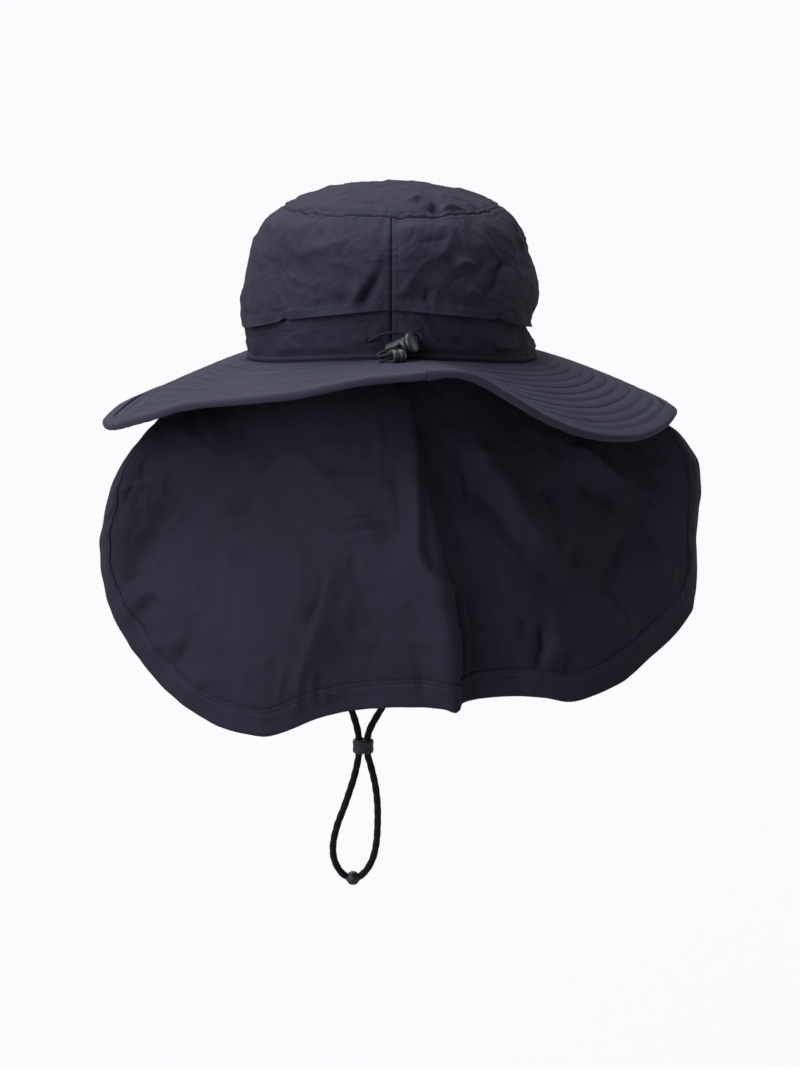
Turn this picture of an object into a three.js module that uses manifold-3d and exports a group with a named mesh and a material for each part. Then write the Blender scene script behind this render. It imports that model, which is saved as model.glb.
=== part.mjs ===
// Legionnaire cap: a wide-brimmed sun hat with a neck flap, a drawcord with a spring lock
// at the centre back of the crown, and a chin cord with a slider and a bead.
// Millimetres. +Z is up, +Y is the front of the hat, +X is the wearer's right.
// The origin is the centre of the head opening, at the height of the seam between crown and brim.
// A bearing is an angle round the head from the centre back, growing towards +X.
import * as THREE from 'three';
import { mergeVertices } from 'three/addons/utils/BufferGeometryUtils.js';
import Module from 'manifold-3d';

const wasm = await Module();
wasm.setup();

// Clearances and walls
const FIT = 0.3;
const CLOTH = 1.2;
const BAND_WALL = 3;
const BRIM_WALL = 2.4;
const BINDING_WALL = 0.8;
const BINDING_WIDTH = 6.2;
const FLAP_WALL = 1;
const HEM_WALL = 1.8;
const HEM_WIDTH = 16;

// Crown
const CROWN_HALF_WIDTH = 87.6;
const CROWN_HALF_LENGTH = 100;
const TIP_HALF_WIDTH = 63.7;
const TIP_HALF_LENGTH = 74;
const TIP_SEAM_HEIGHT = 90;
const DOME_RISE = 13;
const DOME_FULLNESS = 2.2;
const BASE_RISE_BACK = 10.6;
const BASE_RISE_FRONT = 1;
const VENT_HEIGHT_SIDE = 20;
const VENT_HEIGHT_BACK = 28.4;
const VENT_STAND_OFF = 0.8;
const VENT_FLARE = 2.2;
const VENT_TACK_BEARING = 36;
const BAND_TUCK = 12;
const BAND_DROP = 4;

// Brim
const BRIM_HALF_WIDTH = 169.2;
const BRIM_HALF_LENGTH = 182.9;
const BRIM_SHIFT = -1.3;
const BRIM_DROOP = 40;
const BRIM_CURL = 1.3;
const BINDING_JOINT_BEARING = 7;

// Neck flap
const FLAP_HALF_WIDTH = 178;
const FLAP_DEPTH = 150;
const FLAP_DROP = 202;
const FLAP_REACH = 100;
const FLAP_BULGE = 11;
const SIDE_CURL = 17;
const FOLD_HEIGHT = 10;

// Drawcord, its eyelets and its lock
const DRAWCORD_RADIUS = 0.9;
const EYELET_RADIUS = 2.5;
const EYELET_ROLL = 0.75;
const EYELET_BEARINGS = { left: -8.4, right: 9.5 };
const EYELET_HEIGHTS = { left: 10.9, right: 12.9 };
const EYELET_POCKET = 1.8;
const LOCK_START = new THREE.Vector3(-1.3, -103.5, 15.5);
const LOCK_YAW = 25;
const LOCK_RISE = 24;
const LOCK_LENGTH = 13;
const LOCK_RADIUS = 5;
const LOCK_BORE_RADIUS = 3.9;
const LOCK_FLOOR = 1.5;
const LOCK_HOLE_AT = 9.6;
const LOCK_STRAND_SPACING = 2.2;
const LOCK_WINDOW = { at: 3.6, length: 4, width: 2.6 };
const BUTTON_GAP = 1.4;
const BUTTON_TRAVEL = 1.1;
const BUTTON_RADIUS = 6.2;
const BUTTON_RIM = 1.2;
const BUTTON_DOME = 2;
const STEM_LENGTH = 8.5;
const CORD_END_CENTRE = new THREE.Vector3(3.9, -118.4, 15.2);
const CORD_END_YAW = 28;
const CORD_END_LENGTH = 9;
const CORD_END_RADIUS = 4;
const CORD_END_BORE_RADIUS = 2.35;
const CORD_END_BORE_DEPTH = 4;

// Chin cord, its slider and its bead
const CHIN_CORD_RADIUS = 2.2;
const SLIDER_CENTRE = new THREE.Vector3(-17.6, 10, -240);
const SLIDER_HALF_WIDTH = 6.4;
const SLIDER_HALF_DEPTH = 5.4;
const SLIDER_HEIGHT = 8.6;
const BEAD_RADIUS = 4.3;
const BEAD_CENTRE = new THREE.Vector3(-24, 10, -323.1);

// Crown profile: height as a share of the way up from base to tip seam, fullness as a share
// of the way out from the tip's size to the crown's size
const CROWN_PROFILE = [
  { height: 0, fullness: 0.985 },
  { height: 0.2, fullness: 0.99 },
  { height: 0.45, fullness: 0.97 },
  { height: 0.65, fullness: 0.84 },
  { height: 0.8, fullness: 0.66 },
  { height: 0.92, fullness: 0.35 },
  { height: 1, fullness: 0 },
];

// Soft dents and swells in the crown: depth and spreads are shares of the crown's half width
// and of its height
const CROWN_DENTS = [
  { bearing: 92, height: 0.24, depth: 0.085, turn: 34, spread: 0.17 },
  { bearing: 78, height: 0.68, depth: 0.035, turn: 40, spread: 0.24 },
  { bearing: -84, height: 0.34, depth: -0.018, turn: 40, spread: 0.2 },
  { bearing: -48, height: 0.62, depth: 0.022, turn: 22, spread: 0.16 },
  { bearing: 28, height: 0.7, depth: 0.02, turn: 18, spread: 0.18 },
];

// Edge of the brim: height by bearing, as a share of the brim's droop
const BRIM_EDGE = [
  { bearing: -180, height: -0.6 },
  { bearing: -165, height: -0.65 },
  { bearing: -145, height: -0.76 },
  { bearing: -128, height: -0.79 },
  { bearing: -108, height: -0.88 },
  { bearing: -93, height: -0.94 },
  { bearing: -73, height: -0.83 },
  { bearing: -54, height: -0.5 },
  { bearing: -42, height: -0.24 },
  { bearing: -29, height: -0.08 },
  { bearing: -17, height: 0.06 },
  { bearing: -5, height: 0.26 },
  { bearing: 5, height: 0.33 },
  { bearing: 12, height: 0.36 },
  { bearing: 17, height: 0.26 },
  { bearing: 23, height: 0 },
  { bearing: 32, height: -0.38 },
  { bearing: 42, height: -0.65 },
  { bearing: 55, height: -0.8 },
  { bearing: 69, height: -0.79 },
  { bearing: 80, height: -0.74 },
  { bearing: 95, height: -0.8 },
  { bearing: 113, height: -0.78 },
  { bearing: 131, height: -0.7 },
  { bearing: 145, height: -0.69 },
  { bearing: 165, height: -0.63 },
  { bearing: 180, height: -0.6 },
];

// Outer edge of the neck flap, from the left temple to the right one: bearing is a share of the
// flap's reach, where the cloth of that row is sewn in, and across, depth and drop are shares of
// the flap's half width, depth and drop, drawn for a seam that reaches to this bearing
const FLAP_DRAWN_REACH = 100;
const FLAP_EDGE = [
  { bearing: -1, across: -0.545, depth: 0.1, drop: 0.07 },
  { bearing: -0.985, across: -0.66, depth: 0.02, drop: 0.11 },
  { bearing: -0.97, across: -0.758, depth: -0.053, drop: 0.171 },
  { bearing: -0.95, across: -0.812, depth: -0.08, drop: 0.218 },
  { bearing: -0.92, across: -0.869, depth: -0.097, drop: 0.274 },
  { bearing: -0.89, across: -0.932, depth: -0.113, drop: 0.375 },
  { bearing: -0.86, across: -0.96, depth: -0.12, drop: 0.475 },
  { bearing: -0.82, across: -0.972, depth: -0.12, drop: 0.56 },
  { bearing: -0.76, across: -0.954, depth: -0.16, drop: 0.68 },
  { bearing: -0.69, across: -0.902, depth: -0.24, drop: 0.779 },
  { bearing: -0.61, across: -0.82, depth: -0.36, drop: 0.868 },
  { bearing: -0.52, across: -0.715, depth: -0.507, drop: 0.942 },
  { bearing: -0.42, across: -0.577, depth: -0.667, drop: 0.994 },
  { bearing: -0.34, across: -0.48, depth: -0.747, drop: 1.008 },
  { bearing: -0.27, across: -0.385, depth: -0.8, drop: 1.006 },
  { bearing: -0.17, across: -0.224, depth: -0.853, drop: 0.943 },
  { bearing: -0.1, across: -0.117, depth: -0.893, drop: 0.916 },
  { bearing: -0.02, across: 0.04, depth: -0.96, drop: 0.895 },
  { bearing: 0.03, across: 0.171, depth: -1.007, drop: 0.893 },
  { bearing: 0.045, across: 0.204, depth: -1.02, drop: 0.9 },
  { bearing: 0.055, across: 0.23, depth: -0.953, drop: 0.883 },
  { bearing: 0.11, across: 0.304, depth: -0.92, drop: 0.876 },
  { bearing: 0.18, across: 0.397, depth: -0.893, drop: 0.876 },
  { bearing: 0.26, across: 0.49, depth: -0.867, drop: 0.886 },
  { bearing: 0.33, across: 0.57, depth: -0.827, drop: 0.904 },
  { bearing: 0.4, across: 0.651, depth: -0.76, drop: 0.896 },
  { bearing: 0.48, across: 0.75, depth: -0.653, drop: 0.871 },
  { bearing: 0.56, across: 0.838, depth: -0.52, drop: 0.83 },
  { bearing: 0.65, across: 0.928, depth: -0.373, drop: 0.782 },
  { bearing: 0.73, across: 0.992, depth: -0.253, drop: 0.722 },
  { bearing: 0.78, across: 1.013, depth: -0.18, drop: 0.645 },
  { bearing: 0.85, across: 1.013, depth: -0.13, drop: 0.52 },
  { bearing: 0.9, across: 1.026, depth: -0.1, drop: 0.39 },
  { bearing: 0.935, across: 1.017, depth: -0.093, drop: 0.306 },
  { bearing: 0.955, across: 0.98, depth: -0.08, drop: 0.25 },
  { bearing: 0.97, across: 0.926, depth: -0.053, drop: 0.206 },
  { bearing: 0.985, across: 0.74, depth: 0.02, drop: 0.135 },
  { bearing: 1, across: 0.56, depth: 0.1, drop: 0.07 },
];

// Folds of the neck flap: each runs from one place to another, given across and down as shares of
// the flap's half width and drop. Height is a share of the fold height, out from the neck, and
// left and right are how far the fold reaches to each side, as shares of the half width
const FLAP_FOLDS = [
  { x0: 0.03, z0: 0.06, x1: 0.19, z1: 0.84, height: 0.9, left: 0.34, right: 0.07 },
  { x0: 0.2, z0: 0.12, x1: 0.62, z1: 0.58, height: -0.8, left: 0.15, right: 0.24 },
  { x0: 0.57, z0: 0.27, x1: 0.75, z1: 0.38, height: 0.6, left: 0.1, right: 0.14 },
  { x0: 0.78, z0: 0.3, x1: 0.95, z1: 0.66, height: -0.4, left: 0.12, right: 0.1 },
  { x0: -0.68, z0: 0.36, x1: -0.85, z1: 0.58, height: -0.5, left: 0.12, right: 0.16 },
  { x0: -0.12, z0: 0.48, x1: -0.33, z1: 0.84, height: 0.5, left: 0.2, right: 0.18 },
];

// Routes of the cords: points chosen by hand, in millimetres
const CHIN_CORD_ROUTE = [
  [-83.4, 4, -4.5],
  [-82.6, 4.2, -13],
  [-79.6, 5, -28],
  [-72, 6.5, -60],
  [-61.5, 8, -100],
  [-50, 9.2, -140],
  [-38, 9.8, -178],
  [-28, 10, -208],
  [-22, 10, -226],
  [-20.4, 10, -234],
  [-20.2, 10, -240],
  [-20.4, 10, -246],
  [-22.8, 10, -258],
  [-28.5, 10, -276],
  [-33.9, 10, -291],
  [-36.2, 10, -303],
  [-35.4, 10, -311.5],
  [-31.6, 10, -319],
  [-27, 10, -322.6],
  [-24, 10, -323.1],
  [-21, 10, -322.6],
  [-16.2, 10, -318.6],
  [-12, 10, -311],
  [-9.7, 10, -301],
  [-8.9, 10, -289],
  [-9, 10, -276],
  [-10.4, 10, -264],
  [-13.4, 10, -251],
  [-14.8, 10, -246],
  [-15, 10, -240],
  [-14.8, 10, -234],
  [-12.8, 10, -228],
  [-4.5, 10, -213],
  [11, 10, -180],
  [31, 9.2, -138],
  [50, 8, -96],
  [66, 6.5, -58],
  [78, 5, -27],
  [82.2, 4.2, -13],
  [83.4, 4, -4.5],
];
const CHIN_CORD_STEPS = 66;
const DRAWCORD_STEPS = 34;

// Scalar helpers
const radians = THREE.MathUtils.degToRad;
const lerp = THREE.MathUtils.lerp;
const clamp = THREE.MathUtils.clamp;
const smoothstep = THREE.MathUtils.smoothstep;
const bump = (distance) => Math.exp(-2 * distance * distance);

// The value of a column where the table's key reaches x, on a smooth curve through the rows
function along(table, key, column, x) {
  const last = table.length - 1;
  let row = 0;
  while (row < last - 1 && table[row + 1][key] < x) row += 1;
  const slope = (from, to) => {
    const a = table[Math.max(from, 0)];
    const b = table[Math.min(to, last)];
    return (b[column] - a[column]) / (b[key] - a[key]);
  };
  const a = table[row];
  const b = table[row + 1];
  const width = b[key] - a[key];
  const t = clamp((x - a[key]) / width, 0, 1);
  const rise = t * t * (3 - 2 * t);
  const start = t * (1 - t) * (1 - t) * width * slope(row - 1, row + 1);
  const end = t * t * (1 - t) * width * slope(row, row + 2);
  return lerp(a[column], b[column], rise) + start - end;
}

// The outward normal of a surface at (u, v), from points a little way round it
function normalOf(surface, u, v, du, dv) {
  const across = surface(u + du, v).sub(surface(u - du, v));
  const up = surface(u, v + dv).sub(surface(u, v - dv));
  return across.cross(up).normalize();
}

// One closed cloth wall over a grid of (u, v): faces gives the outer and inner point of each.
// A ring closes on itself in u, and a pole draws the last row of v together to one point.
function clothWall(us, vs, faces, { ring = false, pole = false } = {}) {
  const points = [];
  const triangles = [];
  const sides = [[], []];
  vs.forEach((v, row) => {
    const atPole = pole && row === vs.length - 1;
    const line = us.map((u, column) => (atPole && column > 0 ? null : faces(u, v, row, column)));
    sides.forEach((side, which) => {
      side.push(line.map((pair) => (pair ? points.push(pair[which]) - 1 : points.length - 1)));
    });
  });
  const quad = (a, b, c, d) => {
    if (a !== b) triangles.push(a, b, c);
    if (c !== d) triangles.push(a, c, d);
  };
  const columns = ring ? us.length : us.length - 1;
  const [outer, inner] = sides;
  for (let row = 0; row < vs.length - 1; row += 1) {
    for (let column = 0; column < columns; column += 1) {
      const next = (column + 1) % us.length;
      quad(outer[row][column], outer[row][next], outer[row + 1][next], outer[row + 1][column]);
      quad(inner[row][next], inner[row][column], inner[row + 1][column], inner[row + 1][next]);
    }
  }
  for (let column = 0; column < columns; column += 1) {
    const next = (column + 1) % us.length;
    const top = vs.length - 1;
    quad(inner[0][column], inner[0][next], outer[0][next], outer[0][column]);
    if (!pole) quad(outer[top][column], outer[top][next], inner[top][next], inner[top][column]);
  }
  for (let row = 0; !ring && row < vs.length - 1; row += 1) {
    const end = us.length - 1;
    quad(inner[row][0], outer[row][0], outer[row + 1][0], inner[row + 1][0]);
    quad(outer[row][end], inner[row][end], inner[row + 1][end], outer[row + 1][end]);
  }
  return solidFrom(points, triangles);
}

// An indexed geometry whose faces point out, whichever way round its triangles were listed
function solidFrom(points, triangles) {
  const geometry = new THREE.BufferGeometry();
  geometry.setFromPoints(points);
  let volume = 0;
  for (let i = 0; i < triangles.length; i += 3) {
    const [a, b, c] = [0, 1, 2].map((k) => points[triangles[i + k]]);
    volume += a.dot(b.clone().cross(c));
  }
  geometry.setIndex(volume > 0 ? triangles : triangles.slice().reverse());
  return geometry;
}

// A closed geometry as a solid that can be joined and cut, and back again
function toSolid(geometry) {
  const bare = geometry.clone();
  bare.deleteAttribute('normal');
  bare.deleteAttribute('uv');
  const merged = mergeVertices(bare, 1e-4);
  const mesh = new wasm.Mesh({
    numProp: 3,
    vertProperties: new Float32Array(merged.attributes.position.array),
    triVerts: new Uint32Array(merged.index.array),
  });
  mesh.merge();
  return new wasm.Manifold(mesh);
}

function toGeometry(solid) {
  const mesh = solid.getMesh();
  const geometry = new THREE.BufferGeometry();
  geometry.setAttribute('position', new THREE.BufferAttribute(mesh.vertProperties, mesh.numProp));
  geometry.setIndex(new THREE.BufferAttribute(mesh.triVerts, 1));
  return geometry;
}

// A geometry less every cutter
function cutBy(geometry, cutters) {
  return toGeometry(cutters.reduce((solid, cutter) => solid.subtract(toSolid(cutter)), toSolid(geometry)));
}

// A round tube along a smooth curve through points
function tube(route, radius, steps, sides) {
  const section = new THREE.Shape();
  for (let side = 0; side < sides; side += 1) {
    const turn = (side / sides) * 2 * Math.PI;
    section[side ? 'lineTo' : 'moveTo'](radius * Math.cos(turn), radius * Math.sin(turn));
  }
  const path = new THREE.CatmullRomCurve3(route, false, 'centripetal');
  path.arcLengthDivisions = 2000;
  return new THREE.ExtrudeGeometry(section, { steps, extrudePath: path, bevelEnabled: false });
}

// A turned solid whose axis starts at a place and runs along a direction; the profile holds
// [radius, distance along the axis]
function turned(profile, segments, start, direction) {
  const geometry = new THREE.LatheGeometry(profile.map(([r, s]) => new THREE.Vector2(r, s)), segments);
  const turn = new THREE.Quaternion().setFromUnitVectors(new THREE.Vector3(0, 1, 0), direction);
  return geometry.applyQuaternion(turn).translate(start.x, start.y, start.z);
}

const spread = (from, to, steps) => Array.from({ length: steps + 1 }, (_, i) => lerp(from, to, i / steps));

// Crown: height of the base seam and of the vent above it, by bearing
const baseHeight = (bearing) => {
  const facing = Math.cos(radians(bearing));
  return (facing > 0 ? BASE_RISE_BACK : BASE_RISE_FRONT) * facing ** 2;
};
const ventHeight = (bearing) =>
  lerp(VENT_HEIGHT_SIDE, VENT_HEIGHT_BACK, Math.cos(radians(bearing)) ** 2);
const turnBetween = (a, b) => ((((a - b) % 360) + 540) % 360) - 180;

function crownDent(bearing, height) {
  return CROWN_DENTS.reduce((sum, dent) => {
    const round = turnBetween(bearing, dent.bearing) / dent.turn;
    const up = (height - dent.height) / dent.spread;
    return sum - dent.depth * CROWN_HALF_WIDTH * bump(Math.hypot(round, up));
  }, 0);
}

// The crown's outer skin: height runs from 0 at the base seam to 1 at the tip seam, on the side,
// and on to 2 at the centre of the tip
function crownSkin(bearing, height) {
  const angle = radians(bearing);
  const ring = clamp(2 - height, 0, 1);
  const fullness = along(CROWN_PROFILE, 'height', 'fullness', Math.min(height, 1));
  const onTip = height > 1;
  const dent = onTip ? 0 : crownDent(bearing, height) * clamp(8 * (1 - height), 0, 1);
  const halfWidth = onTip ? TIP_HALF_WIDTH * ring : lerp(TIP_HALF_WIDTH, CROWN_HALF_WIDTH, fullness);
  const halfLength = onTip ? TIP_HALF_LENGTH * ring : lerp(TIP_HALF_LENGTH, CROWN_HALF_LENGTH, fullness);
  const dome = DOME_RISE * (1 - ring ** DOME_FULLNESS);
  const z = onTip ? TIP_SEAM_HEIGHT + dome : lerp(baseHeight(bearing), TIP_SEAM_HEIGHT, height);
  return new THREE.Vector3(
    (halfWidth + dent) * Math.sin(angle),
    -(halfLength + dent) * Math.cos(angle),
    z,
  );
}

const crownSpan = (bearing) => TIP_SEAM_HEIGHT - baseHeight(bearing);

// The outer and inner faces of a piece of the crown whose outer face lies `out` beyond the skin
function crownFaces(bearing, height, out, wall) {
  const point = crownSkin(bearing, height);
  const atCentre = height > 1.999;
  const normal = atCentre ? new THREE.Vector3(0, 0, 1) : normalOf(crownSkin, bearing, height, 0.5, 0.012);
  return [out, out - wall].map((offset) => point.clone().addScaledVector(normal, offset));
}

// Half of the small gap left in every seam of the crown, as a bearing and as a share of height
const SEAM_TURN = THREE.MathUtils.radToDeg(FIT / 2 / CROWN_HALF_WIDTH);
const SEAM_SHARE = FIT / 2 / TIP_SEAM_HEIGHT;
const TIP_SEAM_SHARE = FIT / 2 / TIP_HALF_WIDTH;

function crownTop() {
  const us = spread(-180, 180, 40).slice(0, -1);
  const vs = [1 + TIP_SEAM_SHARE, 1.1, 1.3, 1.6, 2];
  const faces = (bearing, height) => crownFaces(bearing, height, 0, CLOTH);
  return clothWall(us, vs, faces, { ring: true, pole: true });
}

// Rows shared by the upper panel and the band behind it: 0 at the vent, 1 at the band's top
const TUCK_ROWS = [0, 0.5, 1];

// How far the upper panel stands off the band: most half way between the vent's tacks
function ventFlare(bearing, aboveVent) {
  const turn = Math.min(Math.abs(bearing), 180 - Math.abs(bearing)) / VENT_TACK_BEARING;
  const atBack = turn < 1 ? Math.sin(Math.PI * turn) ** 2 : 0;
  return VENT_FLARE * atBack * (1 - aboveVent / BAND_TUCK) ** 2;
}

function crownSide(sign) {
  const us = spread(SEAM_TURN, 180 - SEAM_TURN, 22).map((bearing) => sign * bearing);
  const vs = [...TUCK_ROWS, 1.3, 1.6, 1.84, 2];
  const faces = (bearing, row) => {
    const aboveVent = Math.min(row, 1) * BAND_TUCK;
    const tucked = (ventHeight(bearing) + aboveVent) / crownSpan(bearing);
    const height = lerp(tucked, 1 - SEAM_SHARE, Math.max(row - 1, 0));
    return crownFaces(bearing, height, ventFlare(bearing, aboveVent), CLOTH);
  };
  return clothWall(us, vs, faces);
}

// The band lies just inside the upper panel and runs up behind it
const BAND_OUT = -(CLOTH + VENT_STAND_OFF);

function crownBand(sign, eyelet) {
  const us = spread(SEAM_TURN, 180 - SEAM_TURN, 22).map((bearing) => sign * bearing);
  const faces = (bearing, row) => {
    const vent = ventHeight(bearing);
    const height = row < 0 ? lerp(vent, -BAND_DROP, -row) : vent + row * BAND_TUCK;
    return crownFaces(bearing, height / crownSpan(bearing), BAND_OUT, BAND_WALL);
  };
  const pocket = turned(
    [[0, -EYELET_POCKET], [eyelet.bore, -EYELET_POCKET], [eyelet.bore, CLOTH], [0, CLOTH]],
    12, eyelet.centre, eyelet.normal,
  );
  return cutBy(clothWall(us, [-1, -0.66, -0.33, ...TUCK_ROWS], faces), [pocket]);
}

// Brim: its upper face from the band's foot, at 0, to its outer edge, at 1
function brimSkin(bearing, share) {
  const angle = radians(bearing);
  const foot = crownFaces(bearing, 0, BAND_OUT + FIT, 0)[0];
  const reach = clamp(share, 0, 2);
  const edge = BRIM_DROOP * along(BRIM_EDGE, 'bearing', 'height', turnBetween(bearing, 0));
  return new THREE.Vector3(
    lerp(foot.x, BRIM_SHIFT + BRIM_HALF_WIDTH * Math.sin(angle), share),
    lerp(foot.y, -BRIM_HALF_LENGTH * Math.cos(angle), share),
    lerp(baseHeight(bearing), edge, reach ** BRIM_CURL),
  );
}

const brimNormal = (bearing, share) => normalOf(brimSkin, bearing, share, 0.5, 0.01).negate();

const BRIM_COLUMNS = 60;

function brim() {
  const us = spread(BINDING_JOINT_BEARING, BINDING_JOINT_BEARING + 360, BRIM_COLUMNS).slice(0, -1);
  const faces = (bearing, share) => {
    const point = brimSkin(bearing, share);
    return [point, point.clone().addScaledVector(brimNormal(bearing, share), -BRIM_WALL)];
  };
  return clothWall(us, [0, 0.2, 0.45, 0.72, 1], faces, { ring: true });
}

// The binding: a U section folded over the brim's edge. Each row of the section is
// [distance out past the edge, height above the middle of the brim]
function brimBinding() {
  const inside = BRIM_WALL / 2 + FIT;
  const outside = inside + BINDING_WALL;
  const tip = FIT + BINDING_WALL;
  const section = [
    [-BINDING_WIDTH, outside], [FIT, outside], [tip, inside], [tip, -inside], [FIT, -outside],
    [-BINDING_WIDTH, -outside], [-BINDING_WIDTH, -inside], [FIT, -inside], [FIT, inside],
    [-BINDING_WIDTH, inside],
  ];
  const columns = BRIM_COLUMNS;
  const halfGap = THREE.MathUtils.radToDeg(FIT / 2 / BRIM_HALF_LENGTH);
  const bearings = spread(BINDING_JOINT_BEARING + halfGap, BINDING_JOINT_BEARING + 360 - halfGap, columns);
  const points = [];
  bearings.forEach((bearing) => {
    const edge = brimSkin(bearing, 1);
    const normal = brimNormal(bearing, 1);
    const outward = edge.clone().sub(brimSkin(bearing, 0.98)).normalize();
    edge.addScaledVector(normal, -BRIM_WALL / 2);
    section.forEach(([out, up]) => {
      points.push(edge.clone().addScaledVector(outward, out).addScaledVector(normal, up));
    });
  });
  const count = section.length;
  const triangles = [];
  for (let column = 0; column < columns; column += 1) {
    for (let k = 0; k < count; k += 1) {
      const [a, b] = [column * count + k, column * count + ((k + 1) % count)];
      triangles.push(a, b, b + count, a, b + count, a + count);
    }
  }
  const flat = section.map(([out, up]) => new THREE.Vector2(out, up));
  const turn = Math.sign(THREE.ShapeUtils.area(flat));
  THREE.ShapeUtils.triangulateShape(flat, []).forEach(([a, b, c]) => {
    const end = columns * count;
    const [p, q] = turn * THREE.ShapeUtils.area([flat[a], flat[b], flat[c]]) > 0 ? [a, b] : [b, a];
    triangles.push(q, p, c, end + p, end + q, end + c);
  });
  return solidFrom(points, triangles);
}

// Neck flap: each row of the edge table with its distance along the edge, and its real place
// The two side edges start from the seam's ends and go with them: the nearer a row is to an end,
// the more of the end's own way it goes from where FLAP_EDGE was drawn
const flapEdge = FLAP_EDGE.map((row) => {
  const side = Math.sign(row.bearing);
  const end = flapSeamPlace(side * FLAP_REACH).sub(flapSeamPlace(side * FLAP_DRAWN_REACH));
  end.multiplyScalar(Math.abs(row.bearing) ** 4);
  return {
    bearing: row.bearing * FLAP_REACH,
    x: row.across * FLAP_HALF_WIDTH + end.x,
    y: row.depth * FLAP_DEPTH + end.y,
    z: -row.drop * FLAP_DROP + end.z,
  };
});
flapEdge.forEach((row, i) => {
  const before = flapEdge[i - 1];
  row.run = before ? before.run + Math.hypot(row.x - before.x, row.y - before.y, row.z - before.z) : 0;
});

const flapEdgePoint = (run) =>
  new THREE.Vector3(...['x', 'y', 'z'].map((column) => along(flapEdge, 'run', column, run)));

// Where the cloth is sewn in: up against the brim's underside, just outside the band
function flapSeamPlace(bearing) {
  const seam = crownFaces(bearing, 0, BAND_OUT + FIT + FLAP_WALL / 2, 0)[0];
  seam.z = baseHeight(bearing) - BRIM_WALL - 2 * FIT;
  return seam;
}
const flapSeamPoint = (run) => flapSeamPlace(along(flapEdge, 'run', 'bearing', run));

// How far the folds push the cloth out at a place across and down the flap
function foldRelief(x, z) {
  return FLAP_FOLDS.reduce((sum, fold) => {
    const from = new THREE.Vector2(fold.x0 * FLAP_HALF_WIDTH, -fold.z0 * FLAP_DROP);
    const line = new THREE.Vector2(fold.x1 * FLAP_HALF_WIDTH, -fold.z1 * FLAP_DROP).sub(from);
    const offset = new THREE.Vector2(x, z).sub(from);
    const share = offset.dot(line) / line.lengthSq();
    const across = offset.cross(line) / -line.length();
    const reach = (across > 0 ? fold.right : fold.left) * FLAP_HALF_WIDTH;
    const past = Math.max(-share, share - 1, 0) * line.length();
    return sum + fold.height * FOLD_HEIGHT * bump(Math.hypot(across, past) / reach);
  }, 0);
}

// The cloth hangs from the seam to its edge, bowed out a little and pushed out by the folds. Its
// two side edges turn forward, towards the cheeks
function flapSkin(run, share) {
  const seam = flapSeamPoint(run);
  const edge = flapEdgePoint(run);
  const side = smoothstep(Math.abs(along(flapEdge, 'run', 'bearing', run)) / FLAP_REACH, 0.6, 0.84);
  const curl = SIDE_CURL * side * (1 - (1 - share) ** 3) * (1 - share ** 14);
  const length = seam.distanceTo(edge);
  const point = seam.clone().lerp(edge, share);
  const out = new THREE.Vector3(point.x, point.y * (FLAP_HALF_WIDTH / FLAP_DEPTH), 0).normalize();
  const hang = Math.sin(Math.PI * clamp(share, 0, 1));
  const bow = FLAP_BULGE * hang * clamp(length / FLAP_DROP, 0, 1);
  const fold = foldRelief(point.x, point.z) * hang ** 0.7;
  return point.addScaledVector(out, bow + fold).add(new THREE.Vector3(0, -curl, bow / 2));
}

// Share of the way down a row of cloth at which its hem begins: the hem's width is measured on the
// cloth, square to the edge
function hemStart(run) {
  const alongEdge = flapEdgePoint(run + 1).sub(flapEdgePoint(run - 1)).normalize();
  const step = 0.01;
  let share = 1;
  let width = 0;
  let last = flapSkin(run, share);
  while (width < HEM_WIDTH && share > 0.3) {
    const next = flapSkin(run, share - step);
    const gain = next.clone().sub(last).cross(alongEdge).length();
    share -= step * Math.min(1, (HEM_WIDTH - width) / gain);
    width += gain;
    last = next;
  }
  return share;
}

const LONGEST_HEM_STEP = 15;

function neckFlap() {
  const ends = flapEdge.map((row) => row.run);
  const us = ends.slice(1).flatMap((end, i) => (
    end - ends[i] > LONGEST_HEM_STEP ? [ends[i], (ends[i] + end) / 2] : [ends[i]]
  ));
  us.push(ends[ends.length - 1]);
  const clothRows = [0, 0.14, 0.32, 0.52, 0.76, 1];
  const hemRows = [1, 0.5, 0];
  const vs = [...clothRows, ...hemRows];
  const step = FIT / FLAP_DROP;
  const faces = (run, v, row) => {
    const inHem = row >= clothRows.length;
    const start = hemStart(run);
    const share = inHem ? lerp(1, start, v) : v * (start - step);
    const normal = normalOf(flapSkin, clamp(run, 1, us[us.length - 1] - 1), clamp(share, 0.01, 0.99), 1, 0.01);
    const half = (inHem ? HEM_WALL : FLAP_WALL) / 2;
    const middle = flapSkin(run, share);
    const thickness = share > 0 ? 1 : 0;
    return [half, -half].map((offset) => {
      const point = middle.clone().addScaledVector(normal, offset);
      return thickness ? point : middle.clone().add(new THREE.Vector3(point.x - middle.x, point.y - middle.y, 0));
    });
  };
  return clothWall(us, vs, faces);
}

// Eyelets: a stitched ring on the band's outer face, and the pocket behind it
function eyeletSeat(side) {
  const height = EYELET_HEIGHTS[side] / crownSpan(EYELET_BEARINGS[side]);
  const [outer, inner] = crownFaces(EYELET_BEARINGS[side], height, BAND_OUT, BAND_WALL);
  return { centre: outer, normal: outer.clone().sub(inner).normalize(), bore: EYELET_RADIUS - EYELET_ROLL };
}

function eyelet(seat) {
  const ring = new THREE.TorusGeometry(EYELET_RADIUS, EYELET_ROLL, 6, 14);
  const turn = new THREE.Quaternion().setFromUnitVectors(new THREE.Vector3(0, 0, 1), seat.normal);
  const centre = seat.centre.clone().addScaledVector(seat.normal, EYELET_ROLL + FIT);
  return ring.applyQuaternion(turn).translate(centre.x, centre.y, centre.z);
}

const seats = { left: eyeletSeat('left'), right: eyeletSeat('right') };

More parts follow.
